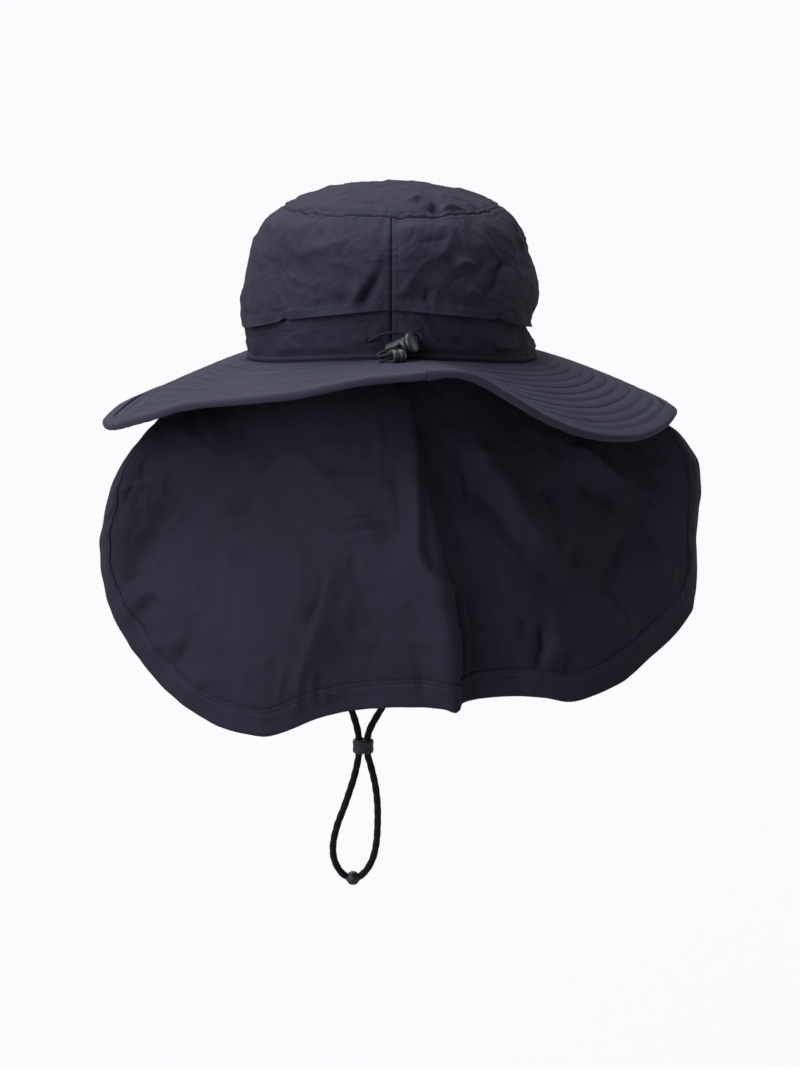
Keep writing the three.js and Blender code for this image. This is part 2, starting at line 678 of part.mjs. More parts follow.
// Cord lock: its axis rises to the right and towards the back of the hat
const lockAxis = new THREE.Vector3(
  Math.cos(radians(LOCK_RISE)) * Math.cos(radians(LOCK_YAW)),
  -Math.cos(radians(LOCK_RISE)) * Math.sin(radians(LOCK_YAW)),
  Math.sin(radians(LOCK_RISE)),
);
const lockOut = new THREE.Vector3(-Math.sin(radians(LOCK_YAW)), -Math.cos(radians(LOCK_YAW)), 0);
const lockUp = new THREE.Vector3().crossVectors(lockOut, lockAxis).negate().normalize();
if (lockUp.z < 0) lockUp.negate();
const lockPlace = (s, out, up) => LOCK_START.clone()
  .addScaledVector(lockAxis, s).addScaledVector(lockOut, out).addScaledVector(lockUp, up);

// A straight bar through the lock, its middle at s along the axis
function lockBar(s, out, length, width, height) {
  const bar = new THREE.BoxGeometry(length, width, height);
  const basis = new THREE.Matrix4().makeBasis(lockAxis, lockOut, lockUp);
  if (basis.determinant() < 0) basis.makeBasis(lockAxis, lockOut, lockUp.clone().negate());
  bar.applyMatrix4(basis);
  const middle = lockPlace(s, out, 0);
  return bar.translate(middle.x, middle.y, middle.z);
}

// The drawcords: out of each eyelet, round behind the lock, through it, and back in a loop to
// the cord end. up is the strand's place in the lock's hole, and loop are its last points.
const endAxis = new THREE.Vector3(Math.cos(radians(CORD_END_YAW)), Math.sin(radians(CORD_END_YAW)), 0);
const endPlace = (s, up) => CORD_END_CENTRE.clone()
  .addScaledVector(endAxis, s - CORD_END_LENGTH / 2).add(new THREE.Vector3(0, 0, up));

function drawcordRoute(seat, before, up, loop) {
  const start = seat.centre.clone().addScaledVector(seat.normal, -EYELET_POCKET + FIT);
  const mouth = seat.centre.clone().addScaledVector(seat.normal, 2 * EYELET_ROLL + FIT);
  return [
    start,
    mouth,
    ...before.map((place) => new THREE.Vector3(...place)),
    ...[-6, -3.5, 0, 3.5, 6].map((out) => lockPlace(LOCK_HOLE_AT, out, up)),
    ...loop.map((place) => new THREE.Vector3(...place)),
    endPlace(-1.5, up * 0.95),
    endPlace(1, up * 0.95),
    endPlace(CORD_END_BORE_DEPTH - FIT, up * 0.95),
  ];
}

const routes = {
  left: drawcordRoute(
    seats.left,
    [[-9.5, -101.6, 23.6], [-5, -102, 25.6], [0.5, -101.8, 26.6], [5.2, -101, 25.6], [8.6, -100.6, 23]],
    LOCK_STRAND_SPACING / 2,
    [[2.2, -115, 20], [-1.4, -115.3, 18.9], [-5, -115.9, 17.3], [-7.6, -117.6, 15.9], [-7.4, -119.8, 15.4],
      [-4.6, -121.4, 15.7]],
  ),
  right: drawcordRoute(
    seats.right,
    [[14.3, -100.9, 22.4], [12.4, -101, 20]],
    -LOCK_STRAND_SPACING / 2,
    [[2, -114.2, 17.4], [-1.4, -114.4, 16.1], [-4.4, -115.2, 14.5], [-6.4, -117.2, 13.3], [-6, -119.6, 12.9],
      [-4, -121.2, 13.2]],
  ),
};
const drawcord = (side, clearance) =>
  tube(routes[side], DRAWCORD_RADIUS + clearance, DRAWCORD_STEPS, 6);
const drawcordBores = () => [drawcord('left', FIT), drawcord('right', FIT)];

function lockBody() {
  const lip = 0.6;
  const barrel = turned([
    [0, 0], [LOCK_RADIUS - lip, 0], [LOCK_RADIUS, lip], [LOCK_RADIUS, LOCK_LENGTH],
    [LOCK_BORE_RADIUS, LOCK_LENGTH], [LOCK_BORE_RADIUS, LOCK_FLOOR], [0, LOCK_FLOOR],
  ], 20, LOCK_START, lockAxis);
  const window = lockBar(LOCK_WINDOW.at, LOCK_RADIUS, LOCK_WINDOW.length, LOCK_RADIUS, LOCK_WINDOW.width);
  return cutBy(barrel, [window, ...drawcordBores()]);
}

function lockButton() {
  const stem = LOCK_BORE_RADIUS - FIT;
  const foot = LOCK_LENGTH - STEM_LENGTH;
  const head = LOCK_LENGTH + BUTTON_GAP;
  const button = turned([
    [0, foot], [stem, foot], [stem, head], [BUTTON_RADIUS, head], [BUTTON_RADIUS, head + BUTTON_RIM],
    [BUTTON_RADIUS * 0.86, head + BUTTON_RIM + BUTTON_DOME * 0.5],
    [BUTTON_RADIUS * 0.5, head + BUTTON_RIM + BUTTON_DOME * 0.9],
    [0, head + BUTTON_RIM + BUTTON_DOME],
  ], 20, LOCK_START, lockAxis);
  const cordRoom = DRAWCORD_RADIUS + 2 * FIT;
  const slotLength = 2 * cordRoom + BUTTON_TRAVEL;
  const slotHeight = LOCK_STRAND_SPACING + 2 * cordRoom;
  const slot = lockBar(LOCK_HOLE_AT + BUTTON_TRAVEL / 2, 0, slotLength, 4 * LOCK_RADIUS, slotHeight);
  return cutBy(button, [slot]);
}

// The cord end: two round lobes, the first drilled for both strands
function cordEnd() {
  const [length, radius, depth] = [CORD_END_LENGTH, CORD_END_RADIUS, CORD_END_BORE_DEPTH];
  const waist = radius * 0.8;
  return turned([
    [0, depth], [CORD_END_BORE_RADIUS, depth], [CORD_END_BORE_RADIUS, 0], [radius * 0.82, 0],
    [radius * 0.96, length * 0.12], [radius * 0.96, length * 0.32], [waist, length * 0.42],
    [radius, length * 0.54], [radius, length * 0.76], [radius * 0.75, length * 0.93], [0, length],
  ], 18, endPlace(0, 0), endAxis);
}

// Chin cord: one length from temple to temple, through the slider, the bead and the slider again
const chinRoute = CHIN_CORD_ROUTE.map((place) => new THREE.Vector3(...place));
const chinCord = (clearance) => tube(chinRoute, CHIN_CORD_RADIUS + clearance, CHIN_CORD_STEPS, 8);

function chinSlider() {
  const [half, edge] = [SLIDER_HEIGHT / 2, 1.6];
  const barrel = turned([
    [0, -half], [SLIDER_HALF_DEPTH - edge, -half], [SLIDER_HALF_DEPTH, edge - half],
    [SLIDER_HALF_DEPTH, half - edge], [SLIDER_HALF_DEPTH - edge, half], [0, half],
  ], 20, new THREE.Vector3(), new THREE.Vector3(0, 0, 1));
  barrel.scale(SLIDER_HALF_WIDTH / SLIDER_HALF_DEPTH, 1, 1);
  barrel.translate(SLIDER_CENTRE.x, SLIDER_CENTRE.y, SLIDER_CENTRE.z);
  return cutBy(barrel, [chinCord(FIT)]);
}

function chinBead() {
  const ball = new THREE.SphereGeometry(BEAD_RADIUS, 12, 8);
  ball.translate(BEAD_CENTRE.x, BEAD_CENTRE.y, BEAD_CENTRE.z);
  return cutBy(ball, [chinCord(FIT)]);
}

const finishes = {
  shell: new THREE.MeshStandardMaterial({ color: 0x2f303c, roughness: 0.8 }),
  brim: new THREE.MeshStandardMaterial({ color: 0x34364a, roughness: 0.75 }),
  flap: new THREE.MeshStandardMaterial({ color: 0x2a2b3c, roughness: 0.8 }),
  cord: new THREE.MeshStandardMaterial({ color: 0x15171d, roughness: 0.9 }),
  lock: new THREE.MeshStandardMaterial({ color: 0x4a4f58, roughness: 0.35 }),
  bead: new THREE.MeshStandardMaterial({ color: 0x24262d, roughness: 0.5 }),
};

const cap = new THREE.Group();
function add(name, geometry, finish) {
  const mesh = new THREE.Mesh(geometry, finishes[finish]);
  mesh.name = name;
  cap.add(mesh);
}

add('crown_top', crownTop(), 'shell');
add('crown_side_left', crownSide(-1), 'shell');
add('crown_side_right', crownSide(1), 'shell');
add('crown_band_left', crownBand(-1, seats.left), 'shell');
add('crown_band_right', crownBand(1, seats.right), 'shell');
add('brim', brim(), 'brim');
add('brim_binding', brimBinding(), 'brim');
add('neck_flap', neckFlap(), 'flap');
add('eyelet_left', eyelet(seats.left), 'shell');
add('eyelet_right', eyelet(seats.right), 'shell');
add('drawcord_left', drawcord('left', 0), 'cord');
add('drawcord_right', drawcord('right', 0), 'cord');
add('cord_lock_body', lockBody(), 'lock');
add('cord_lock_button', lockButton(), 'lock');
add('cord_end', cordEnd(), 'lock');
add('chin_cord', chinCord(0), 'cord');
add('chin_slider', chinSlider(), 'bead');
add('chin_bead', chinBead(), 'bead');

export default cap;
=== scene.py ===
"""Legionnaire cap: the sewn cloth, stitching, cords and cord lock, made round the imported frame."""

import math
from types import SimpleNamespace

import bpy
import numpy as np
from bpy.props import FloatProperty, FloatVectorProperty, PointerProperty
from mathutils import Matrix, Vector


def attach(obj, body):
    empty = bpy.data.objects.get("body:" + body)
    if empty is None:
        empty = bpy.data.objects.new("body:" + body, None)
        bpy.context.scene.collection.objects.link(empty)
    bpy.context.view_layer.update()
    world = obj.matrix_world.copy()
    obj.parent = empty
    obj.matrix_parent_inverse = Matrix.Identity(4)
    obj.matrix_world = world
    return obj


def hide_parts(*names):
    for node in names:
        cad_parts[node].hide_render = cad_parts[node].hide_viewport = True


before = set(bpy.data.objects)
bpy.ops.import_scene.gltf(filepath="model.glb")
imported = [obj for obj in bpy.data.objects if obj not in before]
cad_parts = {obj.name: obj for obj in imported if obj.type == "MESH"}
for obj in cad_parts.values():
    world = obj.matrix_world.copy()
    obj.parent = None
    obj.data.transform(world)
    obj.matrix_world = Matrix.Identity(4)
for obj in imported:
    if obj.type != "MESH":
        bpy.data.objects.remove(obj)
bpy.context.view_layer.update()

bl_info = {
    "name": "Legionnaire Cap",
    "version": (1, 0, 0),
    "blender": (4, 5, 0),
    "location": "View3D > Sidebar > Cap",
    "description": "Builds a wide-brimmed sun hat with a neck flap and cords",
    "category": "Add Mesh",
}

MM = 0.001
BODY = "cap"
BUTTON_BODY = "lock_button"

# Sizes shared with the frame, in millimetres
FIT = 0.3
CLOTH = 1.2
BAND_WALL = 3.0
BRIM_WALL = 2.4
BINDING_WALL = 0.8
BINDING_WIDTH = 6.2
FLAP_WALL = 1.0
HEM_WALL = 1.8
HEM_WIDTH = 16.0
CROWN_HALF = np.array([87.6, 100.0])
TIP_HALF = np.array([63.7, 74.0])
TIP_SEAM_HEIGHT = 90.0
DOME_RISE = 13.0
DOME_FULLNESS = 2.2
BASE_RISE_BACK = 10.6
BASE_RISE_FRONT = 1.0
VENT_HEIGHT_SIDE = 20.0
VENT_HEIGHT_BACK = 28.4
VENT_STAND_OFF = 0.8
BAND_TUCK = 12.0
BAND_DROP = 4.0
BAND_OUT = -(CLOTH + VENT_STAND_OFF)
BRIM_HALF = np.array([169.2, 182.9])
BRIM_SHIFT = -1.3
BRIM_DROOP = 40.0
BRIM_CURL = 1.3
BINDING_JOINT = 7.0
FLAP_HALF_WIDTH = 178.0
FLAP_DEPTH = 150.0
FLAP_DROP = 202.0
FLAP_REACH = 100.0
FLAP_BULGE = 11.0
SIDE_CURL = 17.0
FOLD_HEIGHT = 10.0

# The scene's own heights, in millimetres
VENT_FLARE = 3.2
BRIM_CREST = 6.0
BRIM_HOLLOW = 7.0

# Crown profile: height share, fullness share
CROWN_PROFILE = np.array([
    (0, 0.985), (0.2, 0.99), (0.45, 0.97), (0.65, 0.84), (0.8, 0.66), (0.92, 0.35), (1, 0),
])

# Soft dents in the crown: bearing, height share, depth share, turn, spread
CROWN_DENTS = [
    (92, 0.24, 0.085, 34, 0.17),
    (78, 0.68, 0.035, 40, 0.24),
    (-84, 0.34, -0.018, 40, 0.2),
    (-48, 0.62, 0.022, 22, 0.16),
    (28, 0.7, 0.02, 18, 0.18),
]

# Edge of the brim: bearing, height as a share of the droop
BRIM_EDGE = np.array([
    (-180, -0.6), (-165, -0.65), (-145, -0.76), (-128, -0.79), (-108, -0.88), (-93, -0.94),
    (-73, -0.83), (-54, -0.5), (-42, -0.24), (-29, -0.08), (-17, 0.06), (-5, 0.26), (5, 0.33),
    (12, 0.36), (17, 0.26), (23, 0), (32, -0.38), (42, -0.65), (55, -0.8), (69, -0.79),
    (80, -0.74), (95, -0.8), (113, -0.78), (131, -0.7), (145, -0.69), (165, -0.63), (180, -0.6),
])

# Outer edge of the neck flap: bearing as a share of its reach, then across, depth and drop as
# shares of its half width, depth and drop
FLAP_EDGE = np.array([
    (-1, -0.545, 0.1, 0.07), (-0.985, -0.66, 0.02, 0.11), (-0.97, -0.758, -0.053, 0.171),
    (-0.95, -0.812, -0.08, 0.218), (-0.92, -0.869, -0.097, 0.274), (-0.89, -0.932, -0.113, 0.375),
    (-0.86, -0.96, -0.12, 0.475), (-0.82, -0.972, -0.12, 0.56), (-0.76, -0.954, -0.16, 0.68),
    (-0.69, -0.902, -0.24, 0.779), (-0.61, -0.82, -0.36, 0.868), (-0.52, -0.715, -0.507, 0.942),
    (-0.42, -0.577, -0.667, 0.994), (-0.34, -0.48, -0.747, 1.008), (-0.27, -0.385, -0.8, 1.006),
    (-0.17, -0.224, -0.853, 0.943), (-0.1, -0.117, -0.893, 0.916), (-0.02, 0.04, -0.96, 0.895),
    (0.03, 0.171, -1.007, 0.893), (0.045, 0.204, -1.02, 0.9), (0.055, 0.23, -0.953, 0.883),
    (0.11, 0.304, -0.92, 0.876), (0.18, 0.397, -0.893, 0.876), (0.26, 0.49, -0.867, 0.886),
    (0.33, 0.57, -0.827, 0.904), (0.4, 0.651, -0.76, 0.896), (0.48, 0.75, -0.653, 0.871),
    (0.56, 0.838, -0.52, 0.83), (0.65, 0.928, -0.373, 0.782), (0.73, 0.992, -0.253, 0.722),
    (0.78, 1.013, -0.18, 0.645), (0.85, 1.013, -0.13, 0.52), (0.9, 1.026, -0.1, 0.39),
    (0.935, 1.017, -0.093, 0.306), (0.955, 0.98, -0.08, 0.25), (0.97, 0.926, -0.053, 0.206),
    (0.985, 0.74, 0.02, 0.135), (1, 0.56, 0.1, 0.07),
])

# Main folds of the flap: x0, z0, x1, z1 as shares, height, reach to the left and to the right
FLAP_FOLDS = [
    (0.03, 0.06, 0.19, 0.84, 0.9, 0.34, 0.07),
    (0.2, 0.12, 0.62, 0.58, -0.8, 0.15, 0.24),
    (0.57, 0.27, 0.75, 0.38, 0.6, 0.1, 0.14),
    (0.78, 0.3, 0.95, 0.66, -0.4, 0.12, 0.1),
    (-0.68, 0.36, -0.85, 0.58, -0.5, 0.12, 0.16),
    (-0.12, 0.48, -0.33, 0.84, 0.5, 0.2, 0.18),
]

# Creases in the cloth, as seen from the back: points (across, up) in millimetres, height out from
# the cloth, and how far the crease reaches to the left and to the right of its line
FLAP_CREASES = [
    ([(12, -18), (16, -62), (17, -93), (25, -104), (35, -122), (38, -146), (41, -168), (40, -184)],
     3.2, 14, 3.5),
    ([(25, -104), (31, -140), (36, -166)], 1.2, 5, 4),
    ([(31, -19), (38, -43), (46, -61), (59, -74), (69, -87), (86, -112), (99, -121), (109, -122)],
     -1.6, 12, 8),
    ([(40, -22), (52, -50), (66, -68), (80, -90), (98, -108), (112, -112)], 2.6, 6, 16),
    ([(99, -47), (107, -47), (113, -51), (115, -54), (128, -65), (137, -70)], 3.4, 5, 3.5),
    ([(104, -62), (118, -72), (132, -80)], -2.4, 8, 7),
    ([(84, -62), (92, -75)], -1.4, 4, 6),
    ([(148, -66), (152, -79), (162, -103), (171, -123), (174, -131)], 1.3, 9, 8),
    ([(140, -62), (145, -84), (153, -104), (161, -122)], -1.0, 9, 9),
    ([(141, -92), (130, -111), (115, -126)], -2.0, 9, 8),
    ([(76, -132), (73, -144)], -1.5, 4, 5),
    ([(84, -134), (86, -150), (81, -166)], -2.0, 3.5, 5),
    ([(92, -140), (96, -158)], 1.4, 5, 6),
    ([(106, -150), (98, -168)], -1.2, 5, 4),
    ([(153, -127), (157, -144)], -0.7, 4, 5),
    ([(160, -112), (163, -134)], 1.0, 4, 5),
    ([(-72, -22), (-75, -41), (-82, -60), (-94, -86)], -2.0, 12, 9),
    ([(-108, -60), (-132, -90), (-150, -119), (-160, -131)], -3.0, 13, 10),
    ([(-118, -84), (-136, -106), (-152, -132)], 1.6, 9, 9),
    ([(-158, -131), (-149, -124), (-138, -118)], -1.2, 3, 4),
    ([(-149, -146), (-144, -140), (-136, -134)], -1.4, 3, 4),
    ([(-131, -174), (-120, -160), (-115, -146)], -1.5, 4, 5),
    ([(-38, -86), (-31, -80), (-15, -75), (4, -72)], -1.5, 3, 4),
    ([(-36, -92), (-28, -87), (-12, -82), (6, -79)], 1.2, 4, 5),
    ([(-18, -90), (-33, -101), (-37, -120), (-43, -140), (-50, -161), (-60, -187)], 2.4, 3, 18),
    ([(-36, -104), (-41, -122), (-47, -141)], -1.6, 5, 2.5),
    ([(-60, -158), (-65, -188)], 0.8, 2.5, 3),
    ([(-51, -166), (-54, -190)], 0.9, 2, 2.5),
    ([(-43, -160), (-45, -188)], 0.8, 2, 2.5),
    ([(-36, -166), (-36, -184)], 0.6, 2, 2),
    ([(12, -140), (20, -176)], -0.9, 5, 5),
    ([(2, -40), (6, -80)], -0.9, 7, 7),
]

CROWN_CREASES = [
    ([(-5, 62), (-12, 51), (-19, 37)], -1.8, 2.6, 4),
    ([(-9, 64), (-17, 50), (-25, 39)], 1.0, 4, 4),
    ([(35, 62), (41, 64), (49, 60)], 1.6, 3, 4),
    ([(30, 55), (44, 57), (56, 62)], -0.9, 4, 5),
    ([(64, 66), (60, 56), (58, 45)], -1.8, 3, 3),
    ([(21, 52), (20, 42)], -1.4, 2.5, 3.5),
    ([(50, 42), (60, 51)], -1.0, 3, 3),
    ([(42, 50), (53, 42)], 0.9, 3, 4),
    ([(-70, 80), (-75, 66)], -1.0, 4, 4),
    ([(-22, 80), (-38, 72), (-56, 66)], 0.9, 5, 6),
    ([(-40, 44), (-42, 35)], -0.8, 1.2, 1.8),
    ([(22, 45), (21, 34)], -0.9, 1.8, 1.2),
    ([(62, 40), (70, 60)], 0.9, 4, 5),
    ([(14, 76), (34, 78)], -0.8, 4, 4),
    ([(-60, 55), (-40, 50)], 0.7, 5, 5),
    ([(-8, 18), (-24, 24)], 0.6, 3, 4),
    ([(24, 22), (44, 16)], -0.7, 3, 4),
    ([(54, 22), (62, 14), (74, 12)], 0.9, 3, 4),
    ([(-50, 12), (-64, 20)], 0.7, 3, 4),
]

TIP_CREASES = [
    ([(6, -56), (16, -50), (27, -62)], 1.9, 4, 4),
    ([(27, -62), (34, -54), (44, -50)], 1.7, 4, 3.5),
    ([(22, -60), (30, -66)], -2.4, 3, 3),
    ([(16, -68), (26, -56), (34, -66)], -1.0, 3, 3),
    ([(-34, -40), (-20, -52), (-4, -58)], 0.9, 5, 5),
    ([(40, -40), (50, -36)], 0.9, 4, 4),
    ([(-10, -20), (14, -34), (20, -52)], 0.7, 7, 7),
    ([(-44, 10), (-30, 34), (-8, 46)], 0.9, 6, 6),
    ([(20, 20), (40, 12)], -0.8, 6, 6),
]


# Surfaces in numpy

def curve(table, column, x):
    """A smooth curve through a table's rows: cubic between rows, with each row's slope taken across its
    neighbours."""
    keys, values = table[:, 0], table[:, column]
    last = len(keys) - 1
    slopes = np.empty(last + 1)
    for row in range(last + 1):
        low, high = max(row - 1, 0), min(row + 1, last)
        slopes[row] = (values[high] - values[low]) / (keys[high] - keys[low])
    row = np.clip(np.searchsorted(keys, x) - 1, 0, last - 1)
    width = keys[row + 1] - keys[row]
    t = np.clip((x - keys[row]) / width, 0, 1)
    rise = t * t * (3 - 2 * t)
    bend = t * (1 - t) * width * ((1 - t) * slopes[row] - t * slopes[row + 1])
    return values[row] + (values[row + 1] - values[row]) * rise + bend


def mix(a, b, t):
    """From a to b by the share t."""
    return a + (b - a) * t


def smooth(x, low, high):
    """0 below low, 1 above high, and an S curve between."""
    t = np.clip((x - low) / (high - low), 0, 1)
    return t * t * (3 - 2 * t)


def bump(x):
    """A bell: 1 at 0 and falling to nothing past 2."""
    return np.exp(-2 * x * x)


def ridge(x):
    """A crisp fold: 1 at 0, falling away steeply on both sides and to nothing past 2."""
    return np.exp(2.2 * (0.17 - np.sqrt(x * x + 0.03)))


def turn_between(a, b):
    """The turn from b to a in degrees, from -180 to 180."""
    return (a - b + 540) % 360 - 180


def rumple(u, v, seed):
    """Smooth noise from -1 to 1: random values on a lattice of unit squares, blended by an S curve."""
    lattice = np.random.default_rng(seed).uniform(-1, 1, (64, 64))
    iu, iv = np.floor(u).astype(int), np.floor(v).astype(int)
    fu, fv = u - iu, v - iv
    fu, fv = fu * fu * (3 - 2 * fu), fv * fv * (3 - 2 * fv)
    near = mix(lattice[iu % 64, iv % 64], lattice[(iu + 1) % 64, iv % 64], fu)
    far = mix(lattice[iu % 64, (iv + 1) % 64], lattice[(iu + 1) % 64, (iv + 1) % 64], fu)
    return mix(near, far, fv)


def wrinkles(u, v, size, seed):
    """Creased noise: a warped rumple of that size, sharp along its ridges, plus one of half the size."""
    warp = rumple(u / size, v / size, seed + 1) * 0.8
    broad = 1 - 2 * np.abs(rumple(u / size + warp, v / size - warp, seed))
    fine = 1 - 2 * np.abs(rumple(2 * u / size + warp, 2 * v / size + warp, seed + 2))
    return 0.7 * broad + 0.3 * fine


def creases(x, y, table):
    """Height of the creases at (x, y): each is a crisp ridge along its broken line, wider on one side than
    the other, and fades towards both ends."""
    total = np.zeros_like(x)
    for points, height, left, right in table:
        line = np.array(points, float)
        best = np.full(x.shape, np.inf)
        side = np.zeros_like(x)
        share = np.zeros_like(x)
        steps = np.diff(line, axis=0)
        lengths = np.hypot(*steps.T)
        start = 0.0
        for origin, step, length in zip(line, steps, lengths):
            dx, dy = x - origin[0], y - origin[1]
            t = np.clip((dx * step[0] + dy * step[1]) / length ** 2, 0, 1)
            distance = np.hypot(dx - t * step[0], dy - t * step[1])
            nearer = distance < best
            best = np.where(nearer, distance, best)
            side = np.where(nearer, dx * step[1] - dy * step[0], side)
            share = np.where(nearer, start + t * length, share)
            start += length
        share = share / start
        leftward = (side < 0) == (steps[:, 1].sum() >= 0)
        reach = np.where(leftward, left, right)
        fade = np.minimum(smooth(share, -0.02, 0.3), smooth(1 - share, -0.02, 0.3))
        total += height * ridge(best / reach / 1.25) * fade
    return total


def unit(vectors):
    """The same directions at length 1."""
    return vectors / np.linalg.norm(vectors, axis=-1, keepdims=True)


def grid_normals(points):
    """The cross product of the steps across and up a grid of points."""
    return unit(np.cross(np.gradient(points, axis=1), np.gradient(points, axis=0)))


def column_lengths(points):
    """Distance run down each column of a grid, from its first row."""
    steps = np.linalg.norm(np.diff(points, axis=0), axis=2)
    return np.concatenate([np.zeros_like(steps[:1]), np.cumsum(steps, axis=0)])


# Meshes

def new_object(name, points, faces, uv=None):
    """A mesh object from points in millimetres, its faces turned outwards, with a UV map in millimetres."""
    points = np.asarray(points, float) * MM
    quads = [np.asarray(group) for group in faces if len(group)]
    volume = 0.0
    for group in quads:
        a = points[group[:, 0]]
        for k in range(1, group.shape[1] - 1):
            volume += np.einsum("ij,ij->", a, np.cross(points[group[:, k]], points[group[:, k + 1]]))
    if volume < 0:
        quads = [group[:, ::-1] for group in quads]
        if uv is not None:
            uv = [corner[:, ::-1] for corner in uv]
    mesh = bpy.data.meshes.new(name)
    mesh.from_pydata(points.tolist(), [], [face for group in quads for face in group.tolist()])
    mesh.polygons.foreach_set("use_smooth", np.ones(len(mesh.polygons), bool))
    if uv is not None:
        layer = mesh.uv_layers.new(name="cloth")
        flat = np.concatenate([corner.reshape(-1, 2) for corner in uv])
        layer.data.foreach_set("uv", flat.astype(np.float32).ravel())
    mesh.update()
    piece = bpy.data.objects.new(name, mesh)
    bpy.context.scene.collection.objects.link(piece)
    return piece


def wall(name, outer, inner, uv, ring=False, pole=False):
    """A closed cloth wall between two grids of points, rows by columns. uv has the same rows, and on a ring
    one column more. A pole closes the last row to a point on both faces."""
    rows, cols = outer.shape[:2]
    count = rows * cols
    points = [outer.reshape(-1, 3), inner.reshape(-1, 3)]
    last = cols if ring else cols - 1
    r, c = (g.ravel() for g in np.mgrid[0:rows - 1, 0:last])

    def corner(rr, cc, side):
        return side * count + rr * cols + cc % cols

    quads, maps = [], []

    def band(corners):
        quads.append(np.stack([corner(rr, cc, side) for rr, cc, side in corners], 1))
        maps.append(np.stack([uv[rr, cc] for rr, cc, side in corners], 1))

    band([(r, c, 0), (r, c + 1, 0), (r + 1, c + 1, 0), (r + 1, c, 0)])
    band([(r, c + 1, 1), (r, c, 1), (r + 1, c, 1), (r + 1, c + 1, 1)])
    edge = np.arange(last)
    low, high = np.zeros(last, int), np.full(last, rows - 1)
    band([(low, edge, 1), (low, edge + 1, 1), (low, edge + 1, 0), (low, edge, 0)])
    if not pole:
        band([(high, edge, 0), (high, edge + 1, 0), (high, edge + 1, 1), (high, edge, 1)])
    if not ring:
        side = np.arange(rows - 1)
        first, end = np.zeros(rows - 1, int), np.full(rows - 1, cols - 1)
        band([(side, first, 1), (side, first, 0), (side + 1, first, 0), (side + 1, first, 1)])
        band([(side, end, 0), (side, end, 1), (side + 1, end, 1), (side + 1, end, 0)])
    groups, mapped = [np.concatenate(quads)], [np.concatenate(maps)]
    if pole:
        points += [outer[-1].mean(0)[None], inner[-1].mean(0)[None]]
        centre = np.full(last, 2 * count)
        groups.append(np.concatenate([
            np.stack([corner(high, edge, 0), corner(high, edge + 1, 0), centre], 1),
            np.stack([corner(high, edge + 1, 1), corner(high, edge, 1), centre + 1], 1),
        ]))
        top = np.stack([uv[high, edge], uv[high, edge + 1], uv[high, edge]], 1)
        mapped.append(np.concatenate([top, top]))
    return new_object(name, np.concatenate(points), groups, mapped)


def swept(name, rings, uv_step=1.0, closed=False):
    """A tube through rings of points, rings by sides, with flat caps drawn to their middle unless it is
    closed."""
    count, sides = rings.shape[:2]
    last = count if closed else count - 1
    r, c = (g.ravel() for g in np.mgrid[0:last, 0:sides])
    quads = np.stack([
        (r % count) * sides + c, (r % count) * sides + (c + 1) % sides,
        ((r + 1) % count) * sides + (c + 1) % sides, ((r + 1) % count) * sides + c,
    ], 1)
    around = np.linalg.norm(rings[0] - np.roll(rings[0], -1, axis=0), axis=1).mean()
    corners = [(c, r), (c + 1, r), (c + 1, r + 1), (c, r + 1)]
    maps = np.stack([np.stack([a * around, b * uv_step], 1) for a, b in corners], 1)
    points, groups, mapped = [rings.reshape(-1, 3)], [quads], [maps]
    if not closed:
        edge = np.arange(sides)
        base = count * sides
        points += [rings[0].mean(0)[None], rings[-1].mean(0)[None]]
        far = (count - 1) * sides
        groups.append(np.concatenate([
            np.stack([(edge + 1) % sides, edge, np.full(sides, base)], 1),
            np.stack([far + edge, far + (edge + 1) % sides, np.full(sides, base + 1)], 1),
        ]))
        mapped.append(np.zeros((2 * sides, 3, 2)))
    return new_object(name, np.concatenate(points), groups, mapped)


def run_along(line):
    """Distance run at each point of a broken line."""
    return np.concatenate([[0], np.cumsum(np.linalg.norm(np.diff(line, axis=0), axis=1))])


def resample(line, step=None, count=None):
    """Points at even distances along a broken line, at about that step or that many."""
    run = run_along(line)
    count = count or max(int(round(run[-1] / step)), 1) + 1
    at = np.linspace(0, run[-1], count)
    return np.stack([np.interp(at, run, line[:, k]) for k in range(line.shape[1])], 1)


def smooth_line(points, count):
    """A centripetal Catmull-Rom curve through points, then spaced evenly."""
    p = np.asarray(points, float)
    p = np.concatenate([[2 * p[0] - p[1]], p, [2 * p[-1] - p[-2]]])
    knots = np.concatenate([[0], np.cumsum(np.linalg.norm(np.diff(p, axis=0), axis=1) ** 0.5)])
    out = []
    for k in range(1, len(p) - 2):
        t0, t1, t2, t3 = knots[k - 1:k + 3]
        t = np.linspace(t1, t2, 24, endpoint=False)[:, None]
        a1 = (t1 - t) / (t1 - t0) * p[k - 1] + (t - t0) / (t1 - t0) * p[k]
        a2 = (t2 - t) / (t2 - t1) * p[k] + (t - t1) / (t2 - t1) * p[k + 1]
        a3 = (t3 - t) / (t3 - t2) * p[k + 1] + (t - t2) / (t3 - t2) * p[k + 2]
        b1 = (t2 - t) / (t2 - t0) * a1 + (t - t0) / (t2 - t0) * a2
        b2 = (t3 - t) / (t3 - t1) * a2 + (t - t1) / (t3 - t1) * a3
        out.append((t2 - t) / (t2 - t1) * b1 + (t - t1) / (t2 - t1) * b2)
    out.append(p[-2:-1])
    return resample(np.concatenate(out), count=count)


